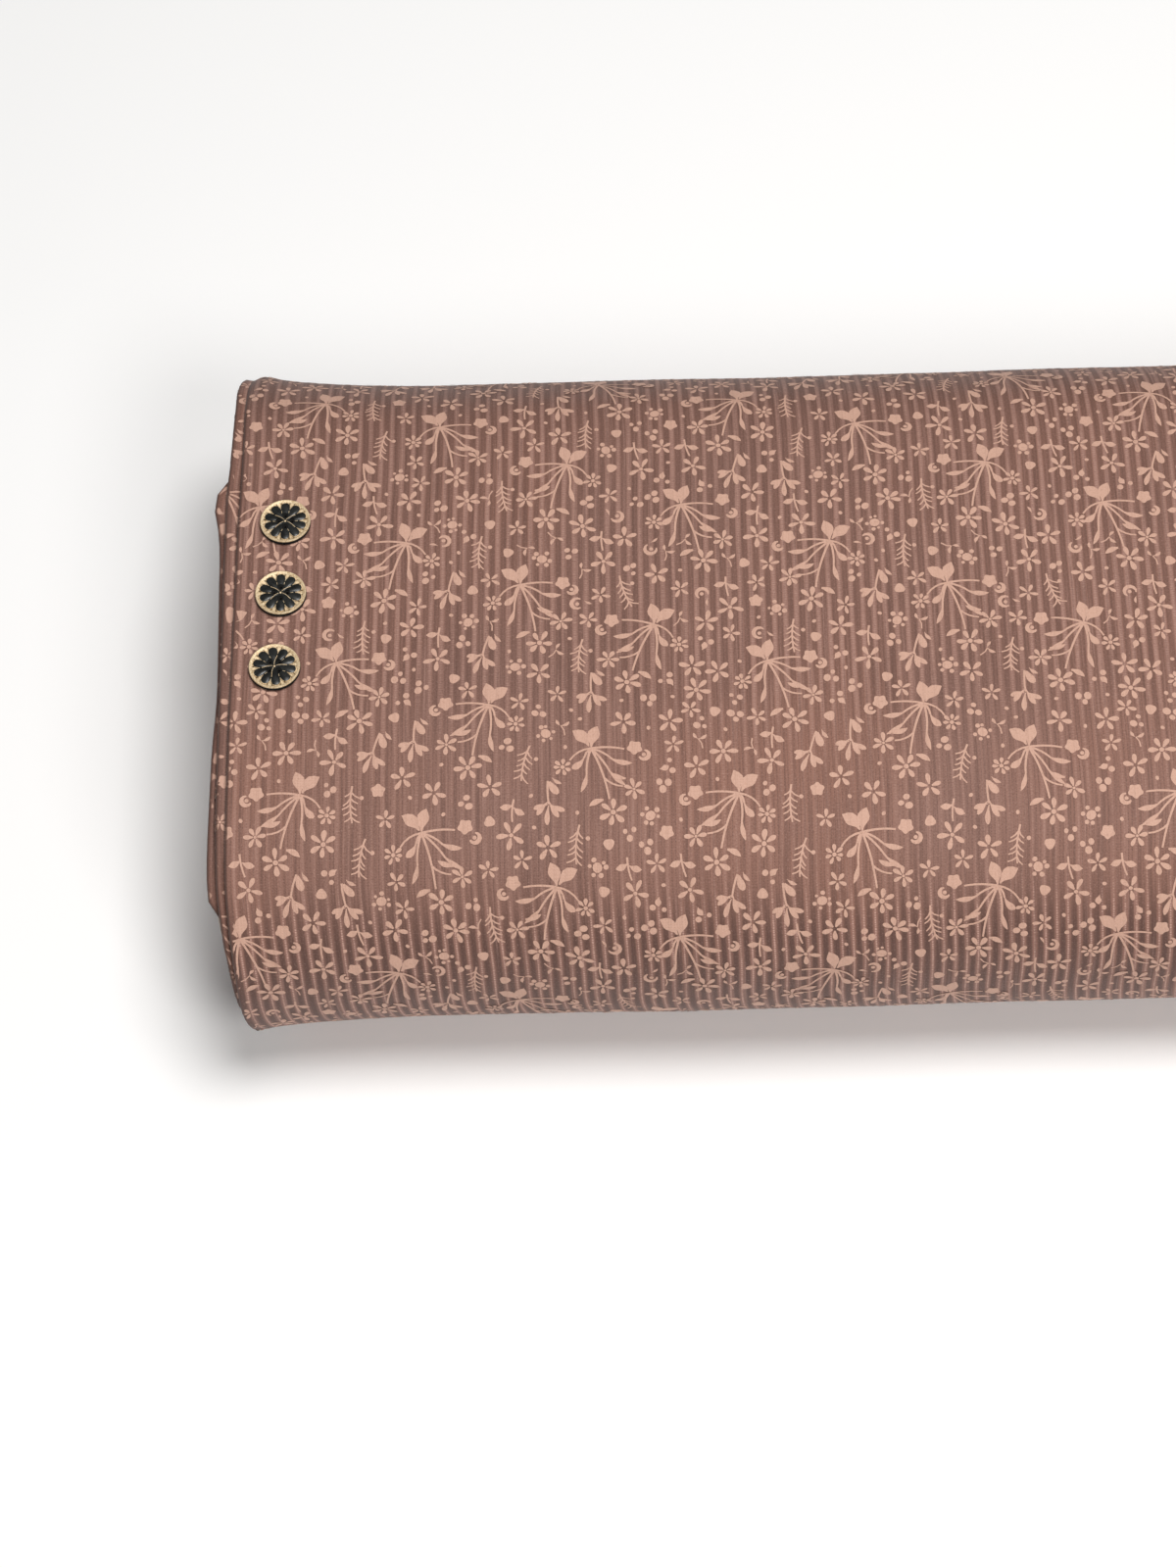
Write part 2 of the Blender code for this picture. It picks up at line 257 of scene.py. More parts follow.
class Shader:
    """Short ways to add nodes to one material."""

    def __init__(self, name):
        self.m = mat(name)
        self.t = self.m.node_tree
        self.out = self.t.nodes.new("ShaderNodeOutputMaterial")
        self.b = self.t.nodes.new("ShaderNodeBsdfPrincipled")
        self.t.links.new(self.b.outputs[0], self.out.inputs[0])

    def put(self, socket, v):
        if isinstance(v, bpy.types.NodeSocket):
            self.t.links.new(v, socket)
        else:
            if socket.type == "RGBA" and len(v) == 3:
                v = (*v, 1)
            socket.default_value = v

    def math(self, op, a, b=0.0, c=None, clamp=False):
        n = self.t.nodes.new("ShaderNodeMath")
        n.operation, n.use_clamp = op, clamp
        self.put(n.inputs[0], a)
        self.put(n.inputs[1], b)
        if c is not None:
            self.put(n.inputs[2], c)
        return n.outputs[0]

    def mix(self, f, a, b, mode="MIX"):
        n = self.t.nodes.new("ShaderNodeMix")
        n.data_type, n.blend_type, n.clamp_factor = "RGBA", mode, True
        self.put(n.inputs["Factor"], f)
        self.put(n.inputs[6], a)
        self.put(n.inputs[7], b)
        return n.outputs[2]

    def uv(self, name="cloth"):
        n = self.t.nodes.new("ShaderNodeUVMap")
        n.uv_map = name
        s = self.t.nodes.new("ShaderNodeSeparateXYZ")
        self.t.links.new(n.outputs[0], s.inputs[0])
        return n.outputs[0], s.outputs[0], s.outputs[1]

    def obj(self):
        n = self.t.nodes.new("ShaderNodeTexCoord")
        return n.outputs["Object"]

    def scale(self, v, k):
        n = self.t.nodes.new("ShaderNodeVectorMath")
        n.operation = "MULTIPLY"
        self.t.links.new(v, n.inputs[0])
        n.inputs[1].default_value = k if hasattr(k, "__len__") else (k, k, k)
        return n.outputs[0]

    def noise(self, v, scale, detail=2.0, rough=0.5):
        n = self.t.nodes.new("ShaderNodeTexNoise")
        self.t.links.new(v, n.inputs["Vector"])
        n.inputs["Scale"].default_value = scale
        n.inputs["Detail"].default_value = detail
        n.inputs["Roughness"].default_value = rough
        return n.outputs["Fac"]

    def ramp(self, v, lo, hi, a=0.0, b=1.0, smooth=True):
        n = self.t.nodes.new("ShaderNodeMapRange")
        n.interpolation_type = "SMOOTHSTEP" if smooth else "LINEAR"
        n.clamp = True
        self.put(n.inputs[0], v)
        for i, x in enumerate((lo, hi, a, b), 1):
            n.inputs[i].default_value = x
        return n.outputs[0]

    def bump(self, height, distance, strength=1.0, normal=None):
        n = self.t.nodes.new("ShaderNodeBump")
        n.inputs["Distance"].default_value = distance
        n.inputs["Strength"].default_value = strength
        self.t.links.new(height, n.inputs["Height"])
        if normal is not None:
            self.t.links.new(normal, n.inputs["Normal"])
        return n.outputs[0]


RIB = 3.88  # millimetres from groove to groove
RIB_AT = (place("front_top", 1.0), place("front_top", 6.0), place("front_top", 36), place("front_top", 60), place("front_low", 60), place("front_low", 20), place("back_top", 62), place("back_top", 4))
GROUND = (0.262, 0.131, 0.096)
PEACH = (0.612, 0.372, 0.283)
CREAM = (0.62, 0.49, 0.40)


def jersey(name, kind):
    """Rib jersey by its own (across, along) map in metres. kind: ground, ink, folds (print as soft blotches) or back (the wrong side)."""
    s = Shader(name)
    vec, u, v = s.uv()
    mm = s.math("MULTIPLY", u, 1000.0)
    vm = s.math("MULTIPLY", v, 1000.0)
    wobble = s.math("MULTIPLY", s.math("SUBTRACT", s.noise(s.scale(vec, (60, 9, 1)), 1.0, 2.0), 0.5), 0.55)
    p = s.math("DIVIDE", s.math("ADD", mm, wobble), RIB)
    half = s.math("SINE", s.math("MULTIPLY", p, math.pi))
    rib = s.math("POWER", s.math("ABSOLUTE", half), 0.55)  # 0 in a groove, 1 on a rib
    groove = s.math("SUBTRACT", 1.0, s.ramp(s.math("ABSOLUTE", half), 0.10, 0.32))
    band = s.math("SUBTRACT", 1.0, s.ramp(s.math("ABSOLUTE", half), 0.34, 0.74))
    wale = s.math("COSINE", s.math("MULTIPLY", mm, 2 * math.pi / (RIB / 4)))
    stitch = s.math("SINE", s.math("ADD", s.math("MULTIPLY", vm, 2 * math.pi / 0.95), s.math("MULTIPLY", wale, 0.9)))
    dots = s.math("MULTIPLY_ADD", s.math("SINE", s.math("MULTIPLY_ADD", s.noise(s.scale(vec, (250, 250, 1)), 1.0, 1.0), 9.0, s.math("MULTIPLY", vm, 2 * math.pi / 0.95))), 0.42, 0.56)
    dots = s.math("MULTIPLY", dots, s.ramp(s.noise(s.scale(vec, (260, 700, 1)), 1.0, 2.0), 0.30, 0.65, 0.45, 1.25))
    fine = s.noise(s.scale(vec, (1700, 1300, 1)), 1.0, 2.0, 0.75)
    patch = s.noise(s.scale(vec, (11, 7, 1)), 1.0, 2.0)
    streak = s.noise(s.scale(vec, (640, 14, 1)), 1.0, 3.0, 0.7)  # threads that run along the ribs
    speck = s.ramp(fine, 0.25, 0.75, -1.0, 1.0, False)
    # Round the front the cloth is stretched and the ribs open; on the top they lie closed. The same ramps also set
    # painted shade on the ribs, most round the nose and over the top.
    wide = s.ramp(v, RIB_AT[0], RIB_AT[1], 0.80, 0.16)
    taut = s.math("SUBTRACT", s.ramp(v, RIB_AT[2], RIB_AT[3], 0.0, 1.0), s.ramp(v, RIB_AT[4], RIB_AT[5], 0.0, 0.6))
    wide = s.math("MULTIPLY", wide, s.math("SUBTRACT", 1.0, s.math("MULTIPLY", taut, 0.4)))
    if kind == "back":
        base = s.mix(s.ramp(fine, 0.3, 0.7), CREAM, tuple(c * 0.82 for c in CREAM))
        base = s.mix(s.math("MULTIPLY", band, 0.25), base, tuple(c * 0.8 for c in CREAM))
    else:
        light = tuple(min(1, c * k) for c, k in zip(GROUND, (2.15, 2.55, 2.85)))
        pale = tuple(min(1, c * k) for c, k in zip(GROUND, (1.50, 1.72, 1.90)))
        dark = tuple(c * k for c, k in zip(GROUND, (0.42, 0.385, 0.39)))
        base = s.mix(s.ramp(patch, 0.3, 0.7), tuple(c * k for c, k in zip(GROUND, (0.97, 1.0, 1.04))), tuple(c * k for c, k in zip(GROUND, (1.05, 0.99, 0.95))))
        # Painted shade: the cloth is darker towards the back of the bolt, where less light falls.
        base = s.mix(s.ramp(v, RIB_AT[7], RIB_AT[6], 0.0, 0.58), base, dark)
        # The rib crests are darkened, partly for the ribs' own darker tone and partly as painted shade that dims the
        # nose and the top.
        shade = s.math("MULTIPLY", s.ramp(rib, 0.62, 1.0), s.math("MULTIPLY_ADD", taut, 0.95, s.math("MULTIPLY", wide, 0.56)))
        base = s.mix(shade, base, dark)
        base = s.mix(s.math("MULTIPLY", s.math("MULTIPLY", band, wide), s.math("MULTIPLY_ADD", dots, 0.55, s.ramp(patch, 0.35, 0.62, 0.10, 0.42)), None, True), base, pale)
        base = s.mix(s.math("MULTIPLY", s.math("MULTIPLY", groove, dots), s.math("MULTIPLY_ADD", taut, 1.25, 0.24), None, True), base, light)
        pin = s.math("SUBTRACT", 1.0, s.ramp(s.math("ABSOLUTE", s.math("SINE", s.math("MULTIPLY", p, 3 * math.pi))), 0.08, 0.46))
        calm = s.math("SUBTRACT", 1.0, s.math("MAXIMUM", groove, taut))
        base = s.mix(s.math("MULTIPLY", s.math("MULTIPLY", pin, dots), s.math("MULTIPLY", calm, 0.85), None, True), base, dark)
        base = s.mix(s.ramp(streak, 0.46, 0.66, 0.0, 0.50), base, dark)
        base = s.mix(s.ramp(streak, 0.45, 0.28, 0.0, 0.45), base, pale)
        base = s.mix(s.ramp(fine, 0.52, 0.74, 0.0, 0.55), base, dark)
        base = s.mix(s.ramp(fine, 0.46, 0.28, 0.0, 0.40), base, pale)
        if kind == "ink":
            ink = s.mix(s.ramp(fine, 0.35, 0.75), PEACH, tuple(c * k for c, k in zip(PEACH, (0.90, 0.86, 0.84))))
            wear_and_painted_shade = s.math("MULTIPLY", s.math("ADD", s.math("MULTIPLY", groove, 0.10), s.ramp(s.noise(s.scale(vec, (900, 900, 1)), 1.0, 1.0), 0.60, 0.78, 0.0, 0.25)), 1.0)
            base = s.mix(wear_and_painted_shade, ink, base)
        if kind == "folds":
            spot = s.noise(s.scale(vec, (230, 150, 1)), 1.0, 1.0)
            base = s.mix(s.math("MULTIPLY", s.ramp(spot, 0.60, 0.64), 0.85), base, PEACH)
        # Painted shade: a dark band along the fold's upper edge, where the gap beneath it would throw a shadow.
        fold_painted_shade = s.math("MULTIPLY", s.ramp(mm, 1.75, 1.05), s.ramp(mm, -0.3, 0.35))
        base = s.mix(s.math("MULTIPLY", fold_painted_shade, 0.85), base, tuple(c * 0.8 for c in dark))
        plain = s.ramp(mm, 727.0, 729.0)  # the selvage isn't printed
        if kind == "ground":
            base = s.mix(plain, base, CREAM)
    s.put(s.b.inputs["Base Color"], base)
    s.put(s.b.inputs["Roughness"], s.ramp(fine, 0.2, 0.8, 0.60, 0.78, False))
    s.b.inputs["Specular IOR Level"].default_value = 0.40
    s.b.inputs["Sheen Weight"].default_value = 0.06
    s.b.inputs["Sheen Roughness"].default_value = 0.55
    h = s.math("MULTIPLY", rib, 0.17)
    h = s.math("MULTIPLY_ADD", wale, 0.020, h)
    h = s.math("MULTIPLY_ADD", stitch, 0.022, h)
    h = s.math("MULTIPLY_ADD", fine, 0.09, h)
    s.put(s.b.inputs["Normal"], s.bump(h, 0.001, 0.9))
    return s.m


M_GROUND = jersey("jersey_printed_side", "ground")
M_INK = jersey("jersey_print", "ink")
M_FOLDS = jersey("jersey_folds", "folds")
M_BACK = jersey("jersey_wrong_side", "back")


# ==== the cloth's turns ========================================================
def sheet_piece(name, s0, s1, step, across, back_across, face_mats, edge_lift=0.0006, start_lift=None, cream_at=()):
    """One stretch of the doubled cloth as a closed skin: printed side, fold, printed side, edge, wrong side, fold, wrong side, edge."""
    rows = max(2, int(math.ceil((s1 - s0) / step)) + 1)
    s = np.linspace(s0, s1, rows)
    d = depth(s)
    xl, xr = fold_x(s), edge_x(s)
    xr2 = xr - 0.0012 + 0.0016 * wave(s / 0.07, 0 * s, 31)
    cols = []  # (x, n, across the cloth in metres, face kind, bake u)
    arc = math.pi / 2 * R_OUT
    for q in reversed(across):
        x = xl + R_OUT + q * (xr - xl - R_OUT)
        cols.append((x, curl(x, s, edge_lift), arc + x - xl - R_OUT, 0))
    m = 7
    for j in range(1, m):
        a = math.pi / 2 - math.pi * j / m
        cols.append((xl + R_OUT - R_OUT * math.cos(a), np.full(rows, -R_OUT + R_OUT * math.sin(a)), np.full(rows, a * R_OUT), 0))
    for q in back_across:
        x = xl + R_OUT + q * (xr2 - xl - R_OUT)
        cols.append((x, np.full(rows, -PAIR), -(arc + x - xl - R_OUT), 0))
    turn = len(cols) - 1
    for q in reversed(back_across):
        x = xl + R_OUT + q * (xr2 - xl - R_OUT)
        cols.append((x, np.full(rows, -PAIR + PLY), -(arc + x - xl - R_OUT), 1))
    for j in range(1, 4):
        a = -math.pi / 2 + math.pi * j / 4
        cols.append((xl + R_OUT - R_IN * math.cos(a), np.full(rows, -R_OUT + R_IN * math.sin(a)), np.full(rows, a * R_IN), 1))
    for q in back_across:
        x = xl + R_OUT + q * (xr - xl - R_OUT)
        cols.append((x, curl(x, s, edge_lift) - PLY, arc + x - xl - R_OUT, 1))
    n = len(cols)
    pts, uv = [], []
    lift = start_lift(s) if start_lift else 0.0
    for x, h, w, _ in cols:
        pts.append(cloth_point(x, h, s, d, lift))
        uv.append(np.stack([w, s], 1))
    pts, uv = np.array(pts), np.array(uv)  # columns, rows
    # Bake coordinates are worked out that give the outer printed side nearly all of the width; they are not put on the
    # mesh.
    n_out = len(across)
    bu = np.zeros(n)
    wmid = uv[:, rows // 2, 0]
    bu[:n_out] = 0.002 + 0.86 * (wmid[0] - wmid[:n_out]) / (wmid[0] - wmid[n_out - 1])
    bu[n_out:] = 0.864 + 0.134 * np.arange(1, n - n_out + 1) / (n - n_out)
    bv = 0.002 + 0.996 * (s - s0) / (s1 - s0)
    bake = np.stack([np.repeat(bu[:, None], rows, 1), np.repeat(bv[None], n, 0)], -1)
    verts = pts.reshape(-1, 3)
    faces, fm, luv, lbk = [], [], [], []
    for c in range(n):
        e = (c + 1) % n
        a = c * rows + np.arange(rows - 1)
        b = e * rows + np.arange(rows - 1)
        quad = np.stack([a, a + 1, b + 1, b], 1)
        faces.append(quad)
        kind = 0 if (c < turn) else 1
        kinds = np.full(rows - 1, kind)
        if n_out - 1 <= c < n_out + m and cream_at:
            k_mid = ((s[1:] + s[:-1]) / 2 - S_END) / P
            for k0, k1 in cream_at:
                kinds[(k_mid > k0) & (k_mid < k1)] = 1
        fm.append(kinds)
        fu = uv.reshape(-1, 2)[quad]
        fb = bake.reshape(-1, 2)[quad].copy()
        if e == 0:
            fb[:, 2:, 0] = 0.9999
            fu[:, 2:, 0] = fu[:, :2, 0][:, ::-1] + 0.0007
        luv.append(fu)
        lbk.append(fb)
    faces, fm = np.concatenate(faces), np.concatenate(fm)
    luv, lbk = np.concatenate(luv), np.concatenate(lbk)
    quads = [tuple(map(int, f)) for f in faces]
    # End faces of the stretch, as strips between the printed and the wrong side of each ply.
    o_cols = list(range(n_out + m - 1 + len(back_across)))
    i_cols = list(range(turn + 1, n))
    caps, cap_uv = [], []

    def near(i):
        w = uv[i, 0, 0]
        return min(i_cols, key=lambda j: abs(uv[j, 0, 0] - w))

    for r in (0, rows - 1):
        for a in range(len(o_cols) - 1):
            i, j = o_cols[a], o_cols[a + 1]
            p, q = near(i), near(j)
            ring_ = [i * rows + r, j * rows + r] + ([q * rows + r] if q != p else []) + [p * rows + r]
            if r:
                ring_ = ring_[::-1]
            caps.append(tuple(ring_))
            cap_uv += [[uv.reshape(-1, 2)[k][0], uv.reshape(-1, 2)[k][1]] for k in ring_]
    all_faces = quads + caps
    face_mat = np.concatenate([fm, np.full(len(caps), 1)])
    uv_loops = np.concatenate([luv.reshape(-1, 2), np.array(cap_uv)])
    cap_bake = np.array(cap_uv)
    cap_bake = np.stack([0.9985 + 0 * cap_bake[:, 0], 0.001 + 0 * cap_bake[:, 1]], 1)
    bk_loops = np.concatenate([lbk.reshape(-1, 2), cap_bake])
    me = bpy.data.meshes.new(name)
    me.from_pydata(verts.tolist(), [], all_faces)
    for mm_ in face_mats:
        me.materials.append(mm_)
    me.polygons.foreach_set("material_index", face_mat.astype(np.int32))
    me.polygons.foreach_set("use_smooth", np.ones(len(all_faces), bool))
    me.uv_layers.new(name="cloth").data.foreach_set("uv", uv_loops.astype(np.float32).ravel())
    me.update()
    o = bpy.data.objects.new(name, me)
    bpy.context.scene.collection.objects.link(o)
    bm = bmesh.new()
    bm.from_mesh(me)
    bmesh.ops.recalc_face_normals(bm, faces=bm.faces)
    if bm.calc_volume(signed=True) < 0:
        bmesh.ops.reverse_faces(bm, faces=bm.faces)
    bm.to_mesh(me)
    bm.free()
    me.set_sharp_from_angle(angle=math.radians(52))
    return o


def spread(width, near_ends, middle):
    """Shares from 0 to 1 across a width: given distances from each end in metres, and even steps between."""
    a = [x / width for x in near_ends]
    lo, hi = a[-1], 1 - a[-1]
    k = max(1, int(round((hi - lo) * width / middle)))
    return a + [lo + (hi - lo) * i / k for i in range(1, k)] + [1 - x for x in reversed(a)]


W = 0.738
ENDS = [0.0, 0.0004, 0.001, 0.002, 0.0035, 0.006, 0.010]
FINE = spread(W, ENDS, 0.007)
NEAR = [0.0, 0.0010, 0.0025, 0.0045, 0.007, 0.010, 0.014, 0.020, 0.028, 0.038, 0.052, 0.072, 0.100]
COARSE = spread(W, NEAR, 0.03)
WIND = spread(W, [0.0, 0.0008, 0.0025, 0.006, 0.012, 0.022, 0.036, 0.056, 0.085, 0.13], 0.12)

S_1 = S_END + 0.010  # where the second turn takes over
S_2 = S_END + P + 0.012
S_3 = S_END + 6 * P
S_4 = S_END + 11.5 * P
S_5 = S_END + (TURNS + 1) * P
STEP = 0.004

outer = sheet_piece("cloth_outer_turn", S_HINGE, S_1, STEP, FINE, COARSE, [M_GROUND, M_BACK])
second = sheet_piece("cloth_second_turn", S_1, S_2, 0.006, FINE, COARSE, [M_GROUND, M_BACK])
wind_a = sheet_piece("cloth_outer_windings", S_2, S_3, 0.0085, WIND, WIND, [M_FOLDS, M_BACK], 0.0004, None, ((2.02, 2.75), (3.4, 3.9)))
wind_b = sheet_piece("cloth_middle_windings", S_3, S_4, 0.0085, WIND, WIND, [M_FOLDS, M_BACK], 0.0004)
wind_c = sheet_piece("cloth_inner_windings", S_4, S_5, 0.0085, WIND, WIND, [M_FOLDS, M_BACK], 0.0004)


def end_lift(s):
    """The cut edge stands a little proud of the turn below and curls."""
    t = np.clip((S_END - P + 0.016 - s) / 0.016, 0, 1)
    return 0.0016 * t * t + 0.0005 * t * wave(s / 0.03, 0 * s, 41)


flap = sheet_piece("cloth_cut_end", S_END - P, S_HINGE, 0.003, FINE, COARSE, [M_GROUND, M_BACK], start_lift=end_lift)

# ==== the print ================================================================
TILE = (150.0, 166.0)  # millimetres across and along
SKEW = math.radians(1.4)


class Motif:
    """Flat shapes in millimetres, made of strips and discs, and the circles they cover."""

    def __init__(self):
        self.v, self.f, self.c, self.h = [], [], [], []  # points, faces, room taken, and which layer of ink each point is in
        self.layer = 0

    def strip(self, pts, widths):
        pts = np.asarray(pts, float)
        t = np.gradient(pts, axis=0)
        t /= np.maximum(np.linalg.norm(t, axis=1, keepdims=True), 1e-9)
        n = np.stack([-t[:, 1], t[:, 0]], 1)
        w = np.asarray(widths, float)[:, None] / 2
        b, k = len(self.v), len(pts)
        self.v += (pts + n * w).tolist() + (pts - n * w).tolist()
        self.h += [self.layer] * (2 * k)
        self.layer += 1
        self.f += [(b + i, b + i + 1, b + k + i + 1, b + k + i) for i in range(k - 1)]
        self.c += [(x, y, q) for (x, y), q in zip(pts.tolist(), w[:, 0].tolist())]

    def curve(self, a, b, bend, n):
        a, b = np.asarray(a, float), np.asarray(b, float)
        t = np.linspace(0, 1, n)[:, None]
        side = np.array([-(b - a)[1], (b - a)[0]])
        return a + (b - a) * t + side * bend * 4 * t * (1 - t)

    def stem(self, a, b, bend=0.0, w=0.55, n=None):
        n = n or max(3, int(np.hypot(b[0] - a[0], b[1] - a[1]) / 2.2) + 2)
        p = self.curve(a, b, bend, n)
        self.strip(p, np.linspace(w, w * 0.8, n))
        return p

    def leaf(self, a, b, w, bend=0.0, kind="leaf"):
        prof = {
            "leaf": (0.12, 0.30, 0.72, 1.0, 0.98, 0.62, 0.03),
            "petal": (0.30, 0.52, 0.78, 0.97, 1.00, 0.86, 0.36),
            "paddle": (0.16, 0.30, 0.55, 0.85, 1.0, 0.88, 0.30),
            "slim": (0.35, 0.55, 0.85, 1.0, 0.90, 0.60, 0.12),
        }[kind]
        self.strip(self.curve(a, b, bend, len(prof)), [w * k for k in prof])

    def disc(self, c, r, n=9, wob=0.0, phase=0.0, lobes=0):
        b = len(self.v)
        self.v.append(list(map(float, c)))
        self.h += [self.layer] * (n + 1)
        self.layer += 1
        for i in range(n):
            a = 2 * math.pi * i / n
            q = r * (1 + wob * math.cos((lobes or 2) * a + phase))
            self.v.append([c[0] + q * math.cos(a), c[1] + q * math.sin(a)])
        self.f += [(b, b + 1 + i, b + 1 + (i + 1) % n) for i in range(n)]
        self.c.append((c[0], c[1], r * (1 + wob)))

    def flower(self, c, r, petals, width, rng, gap=0.16, centre=0.0, turn=0.0):
        for i in range(petals):
            a = turn + 2 * math.pi * i / petals + rng.uniform(-0.12, 0.12)
            q = r * rng.uniform(0.90, 1.08)
            d = np.array([math.cos(a), math.sin(a)])
            start = max(gap * r, centre * 1.25)
            self.leaf(np.add(c, d * start), np.add(c, d * q), width * rng.uniform(0.9, 1.1), rng.uniform(-0.05, 0.05), "petal")
        if centre:
            self.disc(c, centre, 8)


def polar(r, deg):
    """A step of a given length at an angle from straight down the cloth, clockwise."""
    a = math.radians(deg)
    return np.array([-r * math.sin(a), r * math.cos(a)])


def bouquet(rng, kind):
    """A pair of leaves on a bunch of stems that fans out, some ending in leaves and some in flowers."""
    m = Motif()
    o = np.array([0.0, 0.0])

    def turned(deg):
        return deg + rng.uniform(-4, 4)

    m.leaf(o + polar(0.5, 158), o + polar(8.8, turned(154)), 4.2, 0.06)
    m.leaf(o + polar(1.1, 208), o + polar(9.3, turned(212)), 4.3, -0.10)
    for deg, r, long, wide, bend, shape in (
        (56, 15.0, 6.6, 2.0, 0.07, "slim"),
        (31, 18.5, 7.4, 1.7, 0.04, "slim"),
        (-24, 17.5, 6.6, 1.7, -0.05, "slim"),
        (-50, 10.0, 5.6, 2.5, -0.10, "paddle"),
    ):
        deg, r = turned(deg), r * rng.uniform(0.93, 1.05)
        knee = polar(r - long, deg * 0.86)
        m.stem(o, knee, bend, 0.85)
        m.leaf(knee, polar(r, deg), wide, -bend, shape)
    m.stem(o, polar(11.5, turned(80)), 0.05, 0.85)
    end = polar(15.0, turned(80))
    m.disc(end, 2.45, 30, 0.13, 0.0, 5)
    tip = polar(20.0, turned(4))
    stalk = m.stem(o, tip, 0.04, 0.85)
    m.flower(tip + polar(4.9, 4), 4.9, 6, 1.85, rng, 0.2, 0.95, rng.uniform(0, 1))
    fork = stalk[int(len(stalk) * 0.62)]
    far = fork + polar(7.2, 52)
    m.stem(fork, far, -0.10, 0.75)
    m.flower(far + polar(3.9, 62), 3.9, 6, 1.55, rng, 0.18, 0.55, rng.uniform(0, 1))
    m.leaf(far + polar(3.0, 150), far + polar(6.6, 210), 1.9, 0.08, "slim")
    m.leaf(tip + polar(2.0, -95), tip + polar(7.2, -82), 2.1, -0.08, "slim")
    m.stem(o, polar(8.6, -70), -0.12, 0.8)
    m.flower(polar(12.0, -66), 3.3, 7, 1.35, rng, 0.12, 0.8, rng.uniform(0, 1))
    end = polar(18.3, turned(57) + 9)
    a = np.linspace(0.2, 4.4, 9)
    m.strip(end + np.stack([1.75 * np.cos(a), 1.75 * np.sin(a)], 1), 1.5 * np.sin(np.linspace(0.3, 2.9, 9)) + 0.15)
    m.disc(end, 0.75, 8)
    if kind % 2:
        m.v = [[-x, y] for x, y in m.v]
        m.c = [(-x, y, r) for x, y, r in m.c]
    # About its middle
    m.v = [[x, y - 9.0] for x, y in m.v]
    m.c = [(x, y - 9.0, r) for x, y, r in m.c]
    return m


def simple(rng, kind):
    m = Motif()
    if kind == "five":
        m.flower((0, 0), 4.4, 5, 1.75, rng, 0.17, 0.0, rng.uniform(0, 6))
    elif kind == "five_small":
        m.flower((0, 0), 3.5, 5, 1.35, rng, 0.15, 0.0, rng.uniform(0, 6))
    elif kind == "daisy":
        m.flower((0, 0), 4.9, 6, 1.8, rng, 0.2, 0.9, rng.uniform(0, 6))
    elif kind == "sprig":
        m.stem((0, -10.5), (0, -2.4), 0.04, 0.75)
        m.leaf((0.1, -7.6), (4.1, -5.2), 2.3, 0.08)
        m.leaf((-0.1, -8.4), (-4.6, -7.4), 2.3, -0.08)
        m.flower((0, 2.2), 4.9, 5, 1.75, rng, 0.18, 0.75, 0.4)
    elif kind == "branch":
        p = m.stem((0, -7.5), (0, 1.0), 0.03, 0.8)
        m.leaf((0.5, -7.2), (3.4, -2.6), 2.7, 0.05, "petal")
        m.leaf((1.6, -8.6), (4.7, -6.2), 1.3, 0.10)
        for i, (a, r) in enumerate(((-64, 6.0), (-28, 6.8), (6, 7.4), (40, 6.4), (74, 5.4))):
            o = p[-1] + np.array([0, -1.2 * (i % 2)])
            m.leaf(o + polar(0.4, a), o + polar(r, a), 1.9, 0.04, "paddle")
    elif kind == "twig":
        p = m.stem((0, -7), (0.6, 6.5), 0.05, 0.7, 7)
        for i in range(1, 6):
            for sgn in (-1, 1):
                q = p[i]
                e = q + np.array([sgn * rng.uniform(2.0, 3.2), rng.uniform(1.6, 2.8)])
                m.stem(q, e, sgn * 0.08, 0.6, 3)
        m.disc((3.4, -2.6), 0.8, 8)
    elif kind == "berry":
        m.disc((0, 0), 1.75, 10, 0.06)
        for i in range(6):
            a = rng.uniform(-0.3, 0.3) + i * math.pi / 3
            r = rng.uniform(0.55, 1.0)
            m.disc(((2.0 + r) * math.cos(a), (2.0 + r) * math.sin(a)), r, 8)
    elif kind == "trio":
        for i in range(3):
            a = 2.1 * i + rng.uniform(-0.3, 0.3)
            m.disc((1.75 * math.cos(a), 1.75 * math.sin(a)), rng.uniform(0.8, 1.45), 9, 0.08)
    elif kind == "dot":
        m.disc((0, 0), 1.85, 18, 0.11, rng.uniform(0, 3), 3)
    elif kind == "rosette":
        m.disc((0, 0), 2.3, 30, 0.13, 0.0, 5)
    elif kind == "bud":
        m.leaf((0, -2.2), (0.3, 1.2), 2.2, 0.1)
        m.disc((2.2, 2.0), 0.9, 8)
        m.disc((-1.8, 1.9), 1.15, 9)
    elif kind == "crescent":
        a = np.linspace(0.3, 4.6, 9)
        m.strip(np.stack([2.1 * np.cos(a), 2.1 * np.sin(a)], 1), 1.35 * np.sin(np.linspace(0.25, 2.9, 9)) + 0.15)
        m.leaf((1.2, -2.4), (4.2, -3.0), 0.9, 0.1)
        m.disc((0.1, 0.2), 0.75, 8)
    elif kind == "hook":
        m.stem((-2.6, -2.4), (0.4, 0.2), 0.1, 0.5)
        m.leaf((0.4, 0.2), (-1.4, 3.0), 1.2, 0.15)
        m.leaf((0.6, 0.1), (2.9, 1.4), 1.1, -0.1)
    elif kind == "crumb":
        m.disc((0, 0), 0.75, 8, 0.12)
    return m


